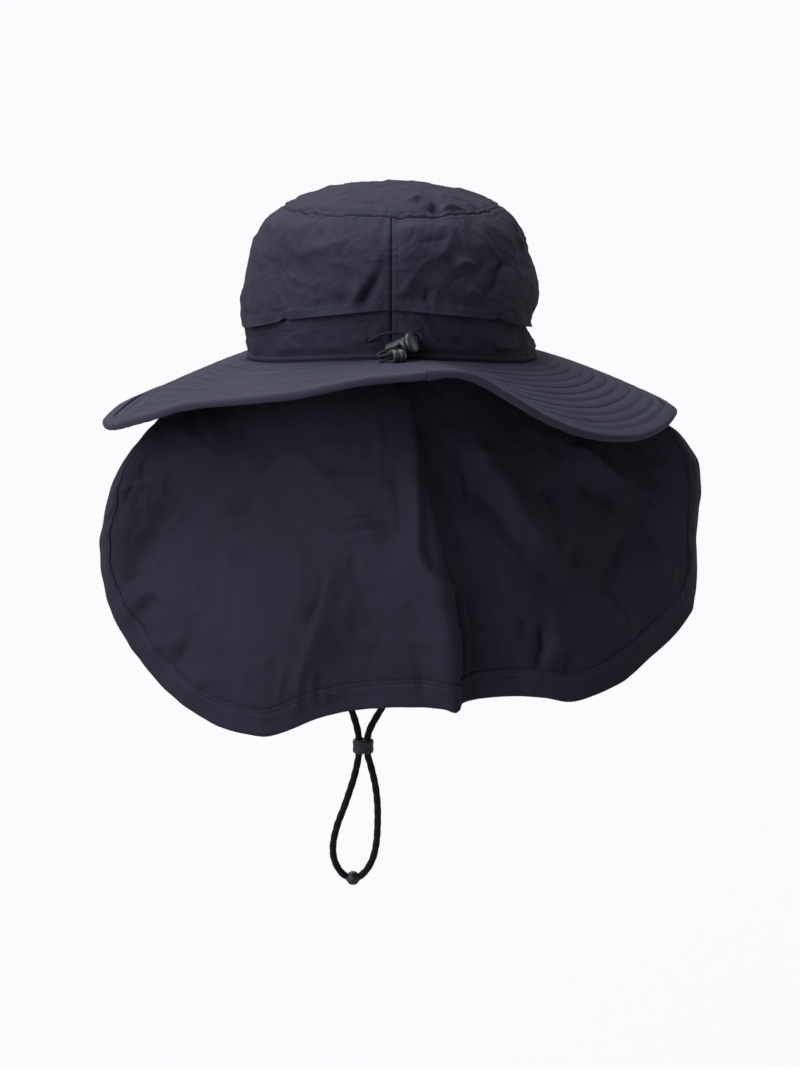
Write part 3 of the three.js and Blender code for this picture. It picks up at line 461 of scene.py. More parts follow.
def frames_along(line):
    """Two directions square to a line at each of its points, turning as little as they can."""
    tangents = unit(np.gradient(line, axis=0))
    first = np.empty_like(line)
    seed = np.array([0.0, 0.0, 1.0]) if abs(tangents[0, 2]) < 0.9 else np.array([0.0, 1.0, 0.0])
    for k, tangent in enumerate(tangents):
        seed = seed - tangent * seed.dot(tangent)
        seed = seed / np.linalg.norm(seed)
        first[k] = seed
    return first, np.cross(tangents, first)


def braid(line, radius, sides, strands, pitch, relief):
    """Rings of points round a braided cord: the radius swells where one of two crossing sets of helical
    strands lies on top."""
    first, second = frames_along(line)
    run = run_along(line)
    turn, along_cord = np.meshgrid(np.linspace(0, 2 * np.pi, sides, endpoint=False), run)
    one = strands * turn / 2 + np.pi * along_cord / pitch
    two = strands * turn / 2 - np.pi * along_cord / pitch
    over = np.maximum(np.cos(one) * np.abs(np.cos(two / 2)), np.cos(two) * np.abs(np.sin(one / 2)))
    reach = (radius - relief + relief * np.clip(over, -1, 1))[..., None]
    spoke = np.cos(turn)[..., None] * first[:, None] + np.sin(turn)[..., None] * second[:, None]
    return line[:, None] + reach * spoke


def lathe(name, profile, start, axis, segments=64, shape=None):
    """A turned solid: profile holds (distance along the axis, radius), from pole to pole; shape changes the
    radius by place along and turn."""
    axis = np.asarray(axis, float) / np.linalg.norm(axis)
    across = unit(np.cross(axis, [0.0, 0.0, 1.0] if abs(axis[2]) < 0.9 else [0.0, 1.0, 0.0]))
    up = np.cross(across, axis)
    profile = np.asarray(profile, float)
    turn, s = np.meshgrid(np.linspace(0, 2 * np.pi, segments, endpoint=False), profile[:, 0])
    radius = np.repeat(profile[:, 1:2], segments, axis=1)
    if shape is not None:
        radius = radius + shape(s, turn)
    points = np.asarray(start, float) + s[..., None] * axis + radius[..., None] * (
        np.cos(turn)[..., None] * across + np.sin(turn)[..., None] * up)
    return swept(name, points)


def rounded(profile, radius, steps=4):
    """A profile of (distance, radius) points with each inner corner turned into a small arc."""
    profile = np.asarray(profile, float)
    out = [profile[0]]
    for before, corner, after in zip(profile[:-2], profile[1:-1], profile[2:]):
        a, b = before - corner, after - corner
        la, lb = np.linalg.norm(a), np.linalg.norm(b)
        cut = min(radius, 0.45 * la, 0.45 * lb)
        p, q = corner + a / la * cut, corner + b / lb * cut
        for t in np.linspace(0, 1, steps):
            out.append((1 - t) ** 2 * p + 2 * t * (1 - t) * corner + t * t * q)
    out.append(profile[-1])
    return np.array(out)


# Sections of a stitch: place along it, girth, and height as shares of the stitch's own
STITCH_SECTIONS = [(0.1, 0.35, -0.25), (0.3, 0.95, 0.0), (0.7, 0.95, 0.0), (0.9, 0.35, -0.25)]

# Corners of a section: across and up
STITCH_CORNERS = [(-1, 0.0), (0, 1.0), (1, 0.0), (0, -0.8)]


def stitches(name, rows, settings, lift):
    """Sewn rows: along each (points, normals) line lies a row of short raised threads, each a lens of four
    sections with four corners, whose ends dip into the cloth."""
    pitch = settings.pitch / MM
    half_width, height = settings.thread / MM / 2, settings.thread / MM * 0.55
    points, quads = [], []
    for line, normals in rows:
        both = resample(np.concatenate([line, normals], axis=1), step=pitch)
        a, b = both[:-1, :3], both[1:, :3]
        n = unit(both[:-1, 3:] + both[1:, 3:])
        step = b - a
        side = unit(np.cross(n, step))
        stations = []
        for share, girth, sink in STITCH_SECTIONS:
            middle = a + step * share + n * (lift + sink * height)
            for across, up in STITCH_CORNERS:
                stations.append(middle + side * (across * half_width * girth) + n * (up * height * girth))
        base = sum(len(p) for p in points)
        block = np.stack(stations, 1)
        points.append(block.reshape(-1, 3))
        first = base + len(stations) * np.arange(len(a))[:, None]
        local = []
        for section in range(3):
            for k in range(4):
                p, q = section * 4 + k, section * 4 + (k + 1) % 4
                local.append((p, q, q + 4, p + 4))
        local += [(3, 2, 1, 0), (12, 13, 14, 15)]
        quads.append((first[:, :, None] + np.array(local)[None]).reshape(-1, 4))
    return new_object(name, np.concatenate(points), [np.concatenate(quads)])


# Materials

def to_linear(colour):
    """An sRGB hex colour as linear light."""
    c = np.array([int(colour[k:k + 2], 16) / 255 for k in (1, 3, 5)])
    linear = np.where(c <= 0.04045, c / 12.92, ((c + 0.055) / 1.055) ** 2.4)
    return (*linear, 1.0)


def add(tree, kind, settings=None, **links):
    """A node of that kind with its settings, and its inputs linked or set by name."""
    node = tree.nodes.new(kind)
    for key, value in (settings or {}).items():
        setattr(node, key, value)
    for key, value in links.items():
        name = key.replace("_", " ")
        socket = node.inputs[int(key[1:])] if key[0] == "i" and key[1:].isdigit() else node.inputs[name]
        if isinstance(value, bpy.types.NodeSocket):
            tree.links.new(value, socket)
        else:
            socket.default_value = value
    return node


def new_material(name, look):
    """An empty material with a Principled surface; returns the material, its tree and the shader."""
    material = bpy.data.materials.new(name)
    material.use_nodes = True
    tree = material.node_tree
    tree.nodes.clear()
    shader = tree.nodes.new("ShaderNodeBsdfPrincipled")
    for key, value in look.items():
        shader.inputs[key].default_value = value
    output = tree.nodes.new("ShaderNodeOutputMaterial")
    tree.links.new(shader.outputs["BSDF"], output.inputs["Surface"])
    return material, tree, shader


def woven_nylon(name, colour, light, crinkle=0.5):
    """Plain-woven nylon: matt spun yarn, so a broad soft sheen, faint slubs along both yarns, and a slightly
    uneven dye."""
    material, tree, shader = new_material(name, {
        "Roughness": 0.75, "IOR": 1.53, "Specular IOR Level": 0.05, "Sheen Weight": 0.02,
        "Sheen Roughness": 0.4, "Sheen Tint": to_linear("#8f93a8"),
    })
    uv = add(tree, "ShaderNodeUVMap", {"uv_map": "cloth"}).outputs["UV"]
    place = add(tree, "ShaderNodeTexCoord").outputs["Object"]
    # Yarns are 0.35 mm apart: drawn at 0.9 mm, so that they show as a faint grain
    warp = add(tree, "ShaderNodeMapping", None, Vector=uv, Scale=(1.1, 0.09, 1))
    weft = add(tree, "ShaderNodeMapping", None, Vector=uv, Scale=(0.09, 1.1, 1))
    along_warp = add(tree, "ShaderNodeTexNoise", None, Vector=warp.outputs[0], Scale=1.0, Detail=2.0)
    along_weft = add(tree, "ShaderNodeTexNoise", None, Vector=weft.outputs[0], Scale=1.0, Detail=2.0)
    yarns = add(tree, "ShaderNodeMath", {"operation": "ADD"},
                i0=along_warp.outputs[0], i1=along_weft.outputs[0])
    # Dye that took unevenly, over about 60 mm
    dye = add(tree, "ShaderNodeTexNoise", None, Vector=place, Scale=16.0, Detail=3.0)
    tone = add(tree, "ShaderNodeMath", {"operation": "MULTIPLY_ADD"},
               i0=yarns.outputs[0], i1=0.55, i2=dye.outputs[0])
    ramp = add(tree, "ShaderNodeMapRange", None, Value=tone.outputs[0], From_Min=0.7, From_Max=1.5)
    cloth = add(tree, "ShaderNodeMix", {"data_type": "RGBA"}, i0=ramp.outputs[0], i6=colour, i7=light)
    tree.links.new(cloth.outputs[2], shader.inputs["Base Color"])
    crease = add(tree, "ShaderNodeTexNoise", None, Vector=place, Scale=95.0, Detail=3.0, Roughness=0.55)
    relief = add(tree, "ShaderNodeMath", {"operation": "MULTIPLY_ADD"},
                 i0=crease.outputs[0], i1=2.6 * crinkle, i2=yarns.outputs[0])
    surface = add(tree, "ShaderNodeBump", None, Height=relief.outputs[0], Strength=0.55, Distance=0.00045)
    tree.links.new(surface.outputs[0], shader.inputs["Normal"])
    return material


def sewing_thread(name, colour):
    """Spun polyester thread: a little smoother than the cloth, with the twist of its two plies."""
    material, tree, shader = new_material(name, {
        "Roughness": 0.6, "IOR": 1.55, "Specular IOR Level": 0.08, "Sheen Weight": 0.02,
        "Sheen Roughness": 0.4,
    })
    place = add(tree, "ShaderNodeTexCoord").outputs["Object"]
    twist = add(tree, "ShaderNodeTexNoise", None, Vector=place, Scale=1800.0, Detail=1.0)
    ramp = add(tree, "ShaderNodeMapRange", None, Value=twist.outputs[0], To_Min=0.75, To_Max=1.25)
    shade = add(tree, "ShaderNodeMix", {"data_type": "RGBA", "blend_type": "MULTIPLY"}, i0=1.0, i6=colour)
    tree.links.new(ramp.outputs[0], shade.inputs[7])
    tree.links.new(shade.outputs[2], shader.inputs["Base Color"])
    return material


def braided_cord(name, colour, light, roughness=0.7):
    """Braided polyester cord: soft bundles of filament, so dull, with painted shade darker down between the
    strands and painted light on the raised filaments.
    """
    material, tree, shader = new_material(name, {
        "Roughness": roughness, "IOR": 1.55, "Specular IOR Level": 0.06, "Sheen Weight": 0.02,
        "Sheen Roughness": 0.5,
    })
    uv = add(tree, "ShaderNodeUVMap", {"uv_map": "cloth"}).outputs["UV"]
    fine = add(tree, "ShaderNodeMapping", None,
               Vector=uv, Rotation=(0, 0, math.radians(35)), Scale=(3.0, 0.6, 1))
    filament = add(tree, "ShaderNodeTexNoise", None, Vector=fine.outputs[0], Scale=1.6, Detail=2.0)
    # Painted light and shade: the noise that raises the bump also lightens the raised filaments and darkens
    # the hollows between them
    cloth = add(tree, "ShaderNodeMix", {"data_type": "RGBA"}, i0=filament.outputs[0], i6=colour, i7=light)
    tree.links.new(cloth.outputs[2], shader.inputs["Base Color"])
    surface = add(tree, "ShaderNodeBump", None, Height=filament.outputs[0], Strength=0.5, Distance=0.0002)
    tree.links.new(surface.outputs[0], shader.inputs["Normal"])
    return material


def moulded_plastic(name, colour, light, roughness=0.32, grain=0.25):
    """Injection-moulded plastic: an even half gloss broken by fine spark texture and handling marks."""
    material, tree, shader = new_material(name, {"IOR": 1.5, "Specular IOR Level": 0.25})
    place = add(tree, "ShaderNodeTexCoord").outputs["Object"]
    marks = add(tree, "ShaderNodeTexNoise", None, Vector=place, Scale=260.0, Detail=4.0)
    shade = add(tree, "ShaderNodeMix", {"data_type": "RGBA"}, i0=marks.outputs[0], i6=colour, i7=light)
    tree.links.new(shade.outputs[2], shader.inputs["Base Color"])
    gloss = add(tree, "ShaderNodeMapRange", None, Value=marks.outputs[0], From_Min=0.3, From_Max=0.7,
                To_Min=roughness - 0.06, To_Max=roughness + 0.12)
    tree.links.new(gloss.outputs[0], shader.inputs["Roughness"])
    spark = add(tree, "ShaderNodeTexNoise", None, Vector=place, Scale=2600.0, Detail=2.0)
    surface = add(tree, "ShaderNodeBump", None, Height=spark.outputs[0], Strength=grain, Distance=0.0001)
    tree.links.new(surface.outputs[0], shader.inputs["Normal"])
    return material


def studio_floor(name, colour):
    """Matt white background board with a trace of unevenness."""
    material, tree, shader = new_material(name, {"Roughness": 0.9, "Specular IOR Level": 0.1})
    place = add(tree, "ShaderNodeTexCoord").outputs["Object"]
    mottle = add(tree, "ShaderNodeTexNoise", None, Vector=place, Scale=0.8, Detail=2.0)
    ramp = add(tree, "ShaderNodeMapRange", None, Value=mottle.outputs[0], To_Min=0.99, To_Max=1.0)
    shade = add(tree, "ShaderNodeMix", {"data_type": "RGBA", "blend_type": "MULTIPLY"}, i0=1.0, i6=colour)
    tree.links.new(ramp.outputs[0], shade.inputs[7])
    tree.links.new(shade.outputs[2], shader.inputs["Base Color"])
    return material


MATERIALS = {}


def material_named(key):
    """The shared material of that key, made the first time that it is asked for."""
    if key not in MATERIALS:
        colours = bpy.context.scene.cap_colours
        look = SimpleNamespace(**{name: (*getattr(colours, name), 1.0) for name in colours.__annotations__})
        makers = {
            "crown": lambda: woven_nylon("crown_nylon_plain_weave", look.crown, look.crown_light),
            "brim": lambda: woven_nylon("brim_nylon_plain_weave", look.brim, look.brim_light, crinkle=0.3),
            "flap": lambda: woven_nylon("flap_nylon_plain_weave", look.flap, look.flap_light, crinkle=0.6),
            "thread": lambda: sewing_thread("spun_polyester_thread", look.thread),
            "drawcord": lambda: braided_cord(
                "elastic_drawcord_braid", look.drawcord, look.drawcord_painted_light, 0.55),
            "chin_cord": lambda: braided_cord(
                "polyester_chin_cord_braid", look.chin_cord, look.chin_cord_painted_light),
            "lock": lambda: moulded_plastic("lock_moulded_acetal", look.lock, look.lock_light),
            "cord_end": lambda: moulded_plastic("cord_end_soft_moulding", look.lock, look.lock_light, 0.38),
            "slider": lambda: moulded_plastic(
                "slider_soft_moulding", look.slider, look.slider_light, 0.5, 0.4),
            "floor": lambda: studio_floor("studio_board_white", look.floor),
        }
        MATERIALS[key] = makers[key]()
    return MATERIALS[key]


def dress(piece, material, body=BODY, nodes=()):
    """Gives a piece its material and the body that it rides on, and hides the nodes that it stands for."""
    piece.data.materials.append(material_named(material))
    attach(piece, body)
    if nodes:
        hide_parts(*nodes)
    return piece


# The crown

def base_height(bearing):
    """Height of the base seam: its rise at the back or front times the squared cosine of the bearing."""
    facing = np.cos(np.radians(bearing))
    return np.where(facing > 0, BASE_RISE_BACK, BASE_RISE_FRONT) * facing ** 2


def vent_height(bearing):
    """Height of the vent over the base seam: from its side value to its back value by the squared cosine."""
    return mix(VENT_HEIGHT_SIDE, VENT_HEIGHT_BACK, np.cos(np.radians(bearing)) ** 2)


def crown_skin(bearing, height):
    """The crown's outer skin: an ellipse whose half sizes go from the crown's to the tip's with height, 0 at
    the base seam and 1 at the tip seam, then a dome over the tip, to 2 at its centre."""
    angle = np.radians(bearing)
    ring = np.clip(2 - height, 0, 1)
    fullness = curve(CROWN_PROFILE, 1, np.minimum(height, 1))
    on_tip = height > 1
    dent = sum(
        -depth * CROWN_HALF[0] * bump(np.hypot(turn_between(bearing, at) / turn, (height - up) / spread))
        for at, up, depth, turn, spread in CROWN_DENTS
    )
    dent = np.where(on_tip, 0, dent * np.clip(8 * (1 - height), 0, 1))
    half_x = np.where(on_tip, TIP_HALF[0] * ring, mix(TIP_HALF[0], CROWN_HALF[0], fullness))
    half_y = np.where(on_tip, TIP_HALF[1] * ring, mix(TIP_HALF[1], CROWN_HALF[1], fullness))
    z = np.where(on_tip, TIP_SEAM_HEIGHT + DOME_RISE * (1 - ring ** DOME_FULLNESS),
                 mix(base_height(bearing), TIP_SEAM_HEIGHT, height))
    return np.stack([(half_x + dent) * np.sin(angle), -(half_y + dent) * np.cos(angle), z], -1)


def skin_normal(skin, bearing, share, turn_step=0.5, share_step=0.012):
    """The outward normal of a skin: the cross product of a short step round it and a short step up it."""
    across = skin(bearing + turn_step, share) - skin(bearing - turn_step, share)
    up = skin(bearing, share + share_step) - skin(bearing, share - share_step)
    return unit(np.cross(across, up))


def crown_span(bearing):
    """Height from the base seam to the tip seam."""
    return TIP_SEAM_HEIGHT - base_height(bearing)


VENT_TACKS = [0, 44, 92, 136, 180]


def vent_flare(bearing):
    """How far the hem over the vent stands off: a hump between each two tacks, a squared sine that leans
    towards the back seam and is tallest beside it."""
    at = np.abs(turn_between(bearing, 0))
    flare = np.zeros_like(at)
    for low, high in zip(VENT_TACKS[:-1], VENT_TACKS[1:]):
        share = np.clip((at - low) / (high - low), 0, 1)
        flare += np.sin(np.pi * share ** 0.85) ** 2 * (1.0 if low == 0 else 0.75)
    return VENT_FLARE * flare


def vent_scallop(bearing):
    """How far the hem over the vent hangs below its line: it sags between tacks and is drawn up at each
    tack."""
    at = np.abs(turn_between(bearing, 0))
    drawn_up = sum(bump((at - tack) / 3.0) for tack in VENT_TACKS[1:-1])
    return 0.7 * vent_flare(bearing) / VENT_FLARE - 1.5 * drawn_up


def seam_wave(bearing, distance):
    """How far the tip seam wanders up and down: noise round the crown that fades with distance from the
    seam."""
    angle = np.radians(bearing)
    return 1.1 * rumple(np.cos(angle) * 13 + 20, np.sin(angle) * 13 + 20, 77) * bump(distance / 7)


def tack_pleats(bearing):
    """The pleats beside the two tacks of the vent nearest the back seam: a dip between two small ridges."""
    off = np.abs(turn_between(bearing, 0)) - VENT_TACKS[1]
    return 0.8 * bump((off - 2.6) / 1.8) - 1.2 * bump(off / 1.3) + 0.6 * bump((off + 2.8) / 2.0)


def edge_roll(distance, radius=1.4, depth=1.0):
    """How far cloth dips as it rolls into a seam that is that far away."""
    return -depth * (1 - np.clip(distance / radius, 0, 1)) ** 2


def groove(distance, width=0.9, depth=0.22):
    """The dip that a row of stitching pulls into the cloth."""
    return -depth * bump(distance / width)


def puckers(run, distance, size, reach, seed):
    """Small pleats square to a seam: noise along the seam that fades with the distance from it."""
    return rumple(run / size, distance / (3 * size), seed) * bump(distance / reach)


def nearest(places, place):
    """Which of the places lies nearest."""
    return int(np.argmin(np.abs(places - place)))


def closed(line):
    """A ring's line with its first point again at its end."""
    return np.concatenate([line, line[:1]])


def ring_map(uv, length):
    """A ring's UV map with its first column again at its end, that length further on."""
    return np.concatenate([uv, uv[:, :1] + np.array([length, 0])], axis=1)


# Rows of stitching in the crown: distances from the seam or hem that each follows
SEAM_ROWS = 4.7
HEM_ROW = 6.6
PANEL_TIP_ROW = 3.6
TIP_ROW = 3.4
LIP_ROW = 2.6
SWEATBAND_ROW = 24.6

# Lengths of the crown's cloth as cut: half way round, and up
PANEL_ARC = 290.0
BAND_ARC = 285.0
PANEL_RISE = 78
SWEATBAND_RADIUS = 88


def crown_relief(points, bearing, seed):
    """Height of the crown's creases and soft wrinkles: the drawn creases are on the back, and noise of three
    sizes all round."""
    back = points[..., 1] < 0
    drawn = np.where(back, creases(points[..., 0], points[..., 2], CROWN_CREASES), 0)
    run = np.radians(bearing) * CROWN_HALF.mean()
    height = points[..., 2]
    soft = wrinkles(run, height * 1.3, 34, seed) + wrinkles(run + height, height, 14, seed + 9) * 0.5
    soft += wrinkles(run - 0.6 * height, height, 7, seed + 18) * 0.22
    return (1.9 * drawn + 1.6 * soft) * bpy.context.scene.cap_cloth.creases


def spaced(low, high, count, dense=()):
    """Even places from low to high, with four more close round each dense place."""
    extra = [place + offset for place in dense for offset in (-1.1, -0.4, 0.4, 1.1)]
    places = np.concatenate([np.linspace(low, high, count), [e for e in extra if low < e < high]])
    places = np.unique(np.round(places, 3))
    return places[np.concatenate([[True], np.diff(places) > 0.12])]


def side_panel(sign):
    """One upper panel of the crown: skin plus vent flare, creases, rolled edges and stitch grooves, from the
    hem over the vent up to the tip seam. Returns the piece and its stitched rows."""
    half_turn = math.degrees(FIT / 2 / CROWN_HALF[0])
    runs = spaced(0, PANEL_ARC, 230, dense=(SEAM_ROWS, PANEL_ARC - SEAM_ROWS))
    bearings = sign * mix(half_turn, 180 - half_turn, runs / PANEL_ARC)
    ups = spaced(0, PANEL_RISE, 84, dense=(0.6, HEM_ROW, 74.2))
    bearing, up = np.meshgrid(bearings, ups)
    along = np.broadcast_to(runs, up.shape)
    low = vent_height(bearing)
    high = TIP_SEAM_HEIGHT - base_height(bearing) - FIT / 2
    height = mix(low, high, up / ups[-1]) / crown_span(bearing)
    point = crown_skin(bearing, height)
    normal = skin_normal(crown_skin, bearing, np.minimum(height, 0.985))
    run = np.minimum(along, PANEL_ARC - along)
    from_tip = ups[-1] - up
    point[..., 2] += seam_wave(bearing, from_tip) - vent_scallop(bearing) * bump(up / 12)
    flare = vent_flare(bearing) * np.clip(1 - up / BAND_TUCK, 0, 1) ** 2
    relief = crown_relief(point, bearing, 40 if sign > 0 else 70)
    fade = smooth(run, 0, 9) * smooth(from_tip, 0, 12) * mix(0.45, 1, smooth(up, 0, 12))
    out = flare + relief * fade
    out += puckers(along, from_tip, 4.4, 9, 5) * 0.6 * smooth(from_tip, 0, 2)
    out += puckers(up * 1.7, run, 5, 6, 6) * 0.3
    out += puckers(along, np.abs(up - HEM_ROW), 5, 6, 7) * 0.45
    out += edge_roll(run, 1.0, 0.7) + edge_roll(from_tip, 1.8, 1.1)
    out += tack_pleats(bearing) * bump(up / 8)
    out += groove(run - SEAM_ROWS) + groove(from_tip - PANEL_TIP_ROW) + groove(up - HEM_ROW)
    out += 0.35 * (1 - smooth(up, HEM_ROW + 0.4, HEM_ROW + 1.2))
    wall_here = CLOTH + 0.3 * (1 - smooth(up, HEM_ROW, HEM_ROW + 1))
    outer = point + normal * out[..., None]
    inner = outer - normal * wall_here[..., None]
    uv = np.stack([along, up], -1)
    side = "right" if sign > 0 else "left"
    piece = dress(wall(f"crown_panel_{side}", outer, inner, uv), "crown",
                  nodes=[f"crown_side_{side}"])

    def column(place):
        k = nearest(runs, place)
        return outer[2:-2, k], normal[2:-2, k]

    def row(place):
        k = nearest(ups, place)
        return outer[k, 6:-3], normal[k, 6:-3]

    return piece, [
        column(SEAM_ROWS), column(PANEL_ARC - SEAM_ROWS), row(HEM_ROW), row(ups[-1] - PANEL_TIP_ROW),
    ]


def seam_tape(bearing_at, name):
    """The cloth turned in behind a crown seam: a strip that follows the skin just inside both panels."""
    offset, up = np.meshgrid(np.linspace(-3.6, 3.6, 9), np.linspace(0.02, 0.985, 60))
    bearing = bearing_at + np.degrees(offset / CROWN_HALF[0])
    height = mix(vent_height(bearing), TIP_SEAM_HEIGHT - base_height(bearing), up) / crown_span(bearing)
    point = crown_skin(bearing, height)
    normal = skin_normal(crown_skin, bearing, np.minimum(height, 0.985))
    outer = point - normal * (CLOTH + 1.3)
    uv = np.stack([offset, up * PANEL_RISE], -1)
    return dress(wall(name, outer, outer - normal * 0.6, uv), "crown")


def crown_tip():
    """The tip: the dome over its elliptical seam, with drawn rumples, a rolled edge and a stitched row."""
    bearings = np.linspace(-180, 180, 260, endpoint=False)
    reach = TIP_HALF.mean()
    inward = spaced(0.15, reach - 1.5, 64, dense=(TIP_ROW,))
    bearing, from_seam = np.meshgrid(bearings, inward)
    height = 1 + from_seam / reach
    point = crown_skin(bearing, height)
    normal = skin_normal(crown_skin, bearing, np.clip(height, 1.03, 1.94), share_step=0.02)
    point[..., 2] += seam_wave(bearing, from_seam)
    cyclic = np.stack([np.cos(np.radians(bearing)), np.sin(np.radians(bearing))], -1) * 3
    x, y = point[..., 0], point[..., 1]
    soft = wrinkles(x, y, 30, 11) * 1.1 + wrinkles(x, y, 12, 14) * 0.6
    relief = 1.8 * creases(x, y, TIP_CREASES) + soft
    pleats = rumple(cyclic[..., 0] * 8, cyclic[..., 1] * 8, 3) * bump(from_seam / 9) * 0.7
    out = relief * smooth(from_seam, 0, 7) + pleats * smooth(from_seam, 0, 1.5)
    out += edge_roll(from_seam, 1.8, 1.1) + groove(from_seam - TIP_ROW, 0.9, 0.35)
    outer = point + normal * out[..., None]
    inner = outer - normal * CLOTH
    ring_uv = np.concatenate([point[..., :2], point[:, :1, :2]], axis=1)
    piece = dress(wall("crown_tip", outer, inner, ring_uv, ring=True, pole=True), "crown",
                  nodes=["crown_top"])
    k = nearest(inward, TIP_ROW)
    return piece, [(closed(outer[k]), closed(normal[k]))]


def band(sign, eyelet_bearing, eyelet_height):
    """One half of the lower band: skin set in behind the vent, with a rolled lip at the base seam, stitched
    rows and a round recess for the eyelet."""
    half_turn = math.degrees(FIT / 2 / CROWN_HALF[0])
    runs = spaced(0, BAND_ARC, 230, dense=(SEAM_ROWS, BAND_ARC - SEAM_ROWS))
    bearings = sign * mix(half_turn, 180 - half_turn, runs / BAND_ARC)
    lip_end, face_end, back_end = 4, 20, 36
    ups = spaced(-BAND_DROP, back_end, 62, dense=(0.4, LIP_ROW))
    bearing, up = np.meshgrid(bearings, ups)
    along = np.broadcast_to(runs, up.shape)
    vent = vent_height(bearing)
    # The lip as it is, the face up to the vent's own height, and the back up behind the hem
    z_up = np.where(up > lip_end, mix(lip_end, vent, (up - lip_end) / (face_end - lip_end)), up)
    z_up = np.where(up > face_end, vent + (up - face_end) / (back_end - face_end) * BAND_TUCK, z_up)
    point = crown_skin(bearing, z_up / crown_span(bearing))
    normal = skin_normal(crown_skin, bearing, z_up / crown_span(bearing))
    run = np.minimum(along, BAND_ARC - along)
    behind = smooth(z_up, vent - 1.5, vent + 0.5)
    relief = crown_relief(point, bearing, 110 if sign > 0 else 140)
    fade = smooth(run, 0, 8) * smooth(z_up, 2, 9) * (1 - behind)
    out = np.full_like(up, BAND_OUT) + relief * fade
    out += puckers(along, np.abs(z_up - LIP_ROW), 4.2, 5, 8) * 0.3 * (1 - behind)
    out += 0.75 * bump((z_up - 1.9) / 1.9) * smooth(z_up, 0.1, 0.9)
    out -= 1.1 * vent_flare(bearing) / VENT_FLARE * smooth(z_up, vent - 5, vent - 1.5)
    out += (edge_roll(run, 1.0, 0.7) + groove(z_up - LIP_ROW - 0.6, 0.7, 0.35)
            + groove(run - SEAM_ROWS) * (1 - behind))
    stitch_height = vent - 7.2
    out += groove(z_up - stitch_height) * (1 - behind)
    eyelet = crown_skin(np.array(eyelet_bearing), np.array(eyelet_height / crown_span(eyelet_bearing)))
    from_eyelet = np.linalg.norm(point - eyelet, axis=-1)
    out -= 1.6 * (1 - smooth(from_eyelet, 1.3, 2.0))
    outer = point + normal * out[..., None]
    inner = point + normal * (BAND_OUT - 1.7)
    uv = np.stack([along, z_up], -1)
    side = "right" if sign > 0 else "left"
    piece = dress(wall(f"crown_lower_band_{side}", outer, inner, uv), "crown",
                  nodes=[f"crown_band_{side}"])
    lip = nearest(ups - LIP_ROW, 0.6)
    near = np.argmin(np.abs(z_up - stitch_height), axis=0)
    across = np.arange(len(runs))
    keep = slice(5, -5)
    low, high = np.searchsorted(ups, 3.4), np.searchsorted(ups, 18.5)
    seam = nearest(runs, SEAM_ROWS)
    far = nearest(runs - BAND_ARC, -SEAM_ROWS)
    rows = [
        (outer[lip, 2:-2], normal[lip, 2:-2]),
        (outer[near, across][keep], normal[near, across][keep]),
        (outer[low:high, seam], normal[low:high, seam]),
        (outer[low:high, far], normal[low:high, far]),
    ]
    return piece, rows


def sweatband():
    """The soft band inside the head opening: a ring of tape that follows the skin behind the lower band."""
    bearings = np.linspace(0, 360, 260, endpoint=False)
    ups = spaced(-3.4, 27, 30, dense=(SWEATBAND_ROW,))
    bearing, up = np.meshgrid(bearings, ups)
    point = crown_skin(bearing, up / crown_span(bearing))
    normal = skin_normal(crown_skin, bearing, up / crown_span(bearing))
    angle = np.radians(bearing)
    soft = rumple(np.cos(angle) * 9 + 20, np.sin(angle) * 9 + up / 14 + 20, 31) * 0.3
    face = BAND_OUT - BAND_WALL - 0.1 + soft - groove(up - SWEATBAND_ROW)
    inner = point + normal * face[..., None]
    outer = point + normal * (BAND_OUT - 1.95)
    uv = ring_map(np.stack([angle * SWEATBAND_RADIUS, up], -1), 2 * np.pi * SWEATBAND_RADIUS)
    piece = dress(wall("sweatband", outer, inner, uv, ring=True), "flap")
    k = nearest(ups, SWEATBAND_ROW)
    return piece, [(closed(inner[k]), -closed(normal[k]))]


# The brim

def brim_skin(bearing, share):
    """The brim's upper face: straight from the band's foot to its elliptical edge in plan, with the height
    falling on a gentle curve to the edge's own, and on the left a crest beside a hollow, both gone at foot
    and edge."""
    angle = np.radians(bearing)
    zero = np.zeros_like(bearing)
    foot = crown_skin(bearing, zero) + skin_normal(crown_skin, bearing, zero) * (BAND_OUT + FIT)
    turn = turn_between(bearing, 0)
    edge = BRIM_DROOP * curve(BRIM_EDGE, 1, turn)
    reach = np.clip(share, 0, 2)
    crest = BRIM_CREST * bump((turn + 64) / 17)
    hollow = BRIM_HOLLOW * bump((turn + 100) / 20)
    swell = (crest - hollow) * np.sin(np.pi * share)
    return np.stack([
        mix(foot[..., 0], BRIM_SHIFT + BRIM_HALF[0] * np.sin(angle), share),
        mix(foot[..., 1], -BRIM_HALF[1] * np.cos(angle), share),
        mix(base_height(bearing), edge, reach ** BRIM_CURL) + swell,
    ], -1)


def brim_normal(bearing, share):
    """The upward normal of the brim, whose share grows outwards."""
    return -skin_normal(brim_skin, bearing, share, share_step=0.01)


RING_SPACING = 7.4
FIRST_RING = 8.2
RING_COUNT = 10
BRIM_WIDTH = 87.5
BRIM_MAP_RADIUS = 150


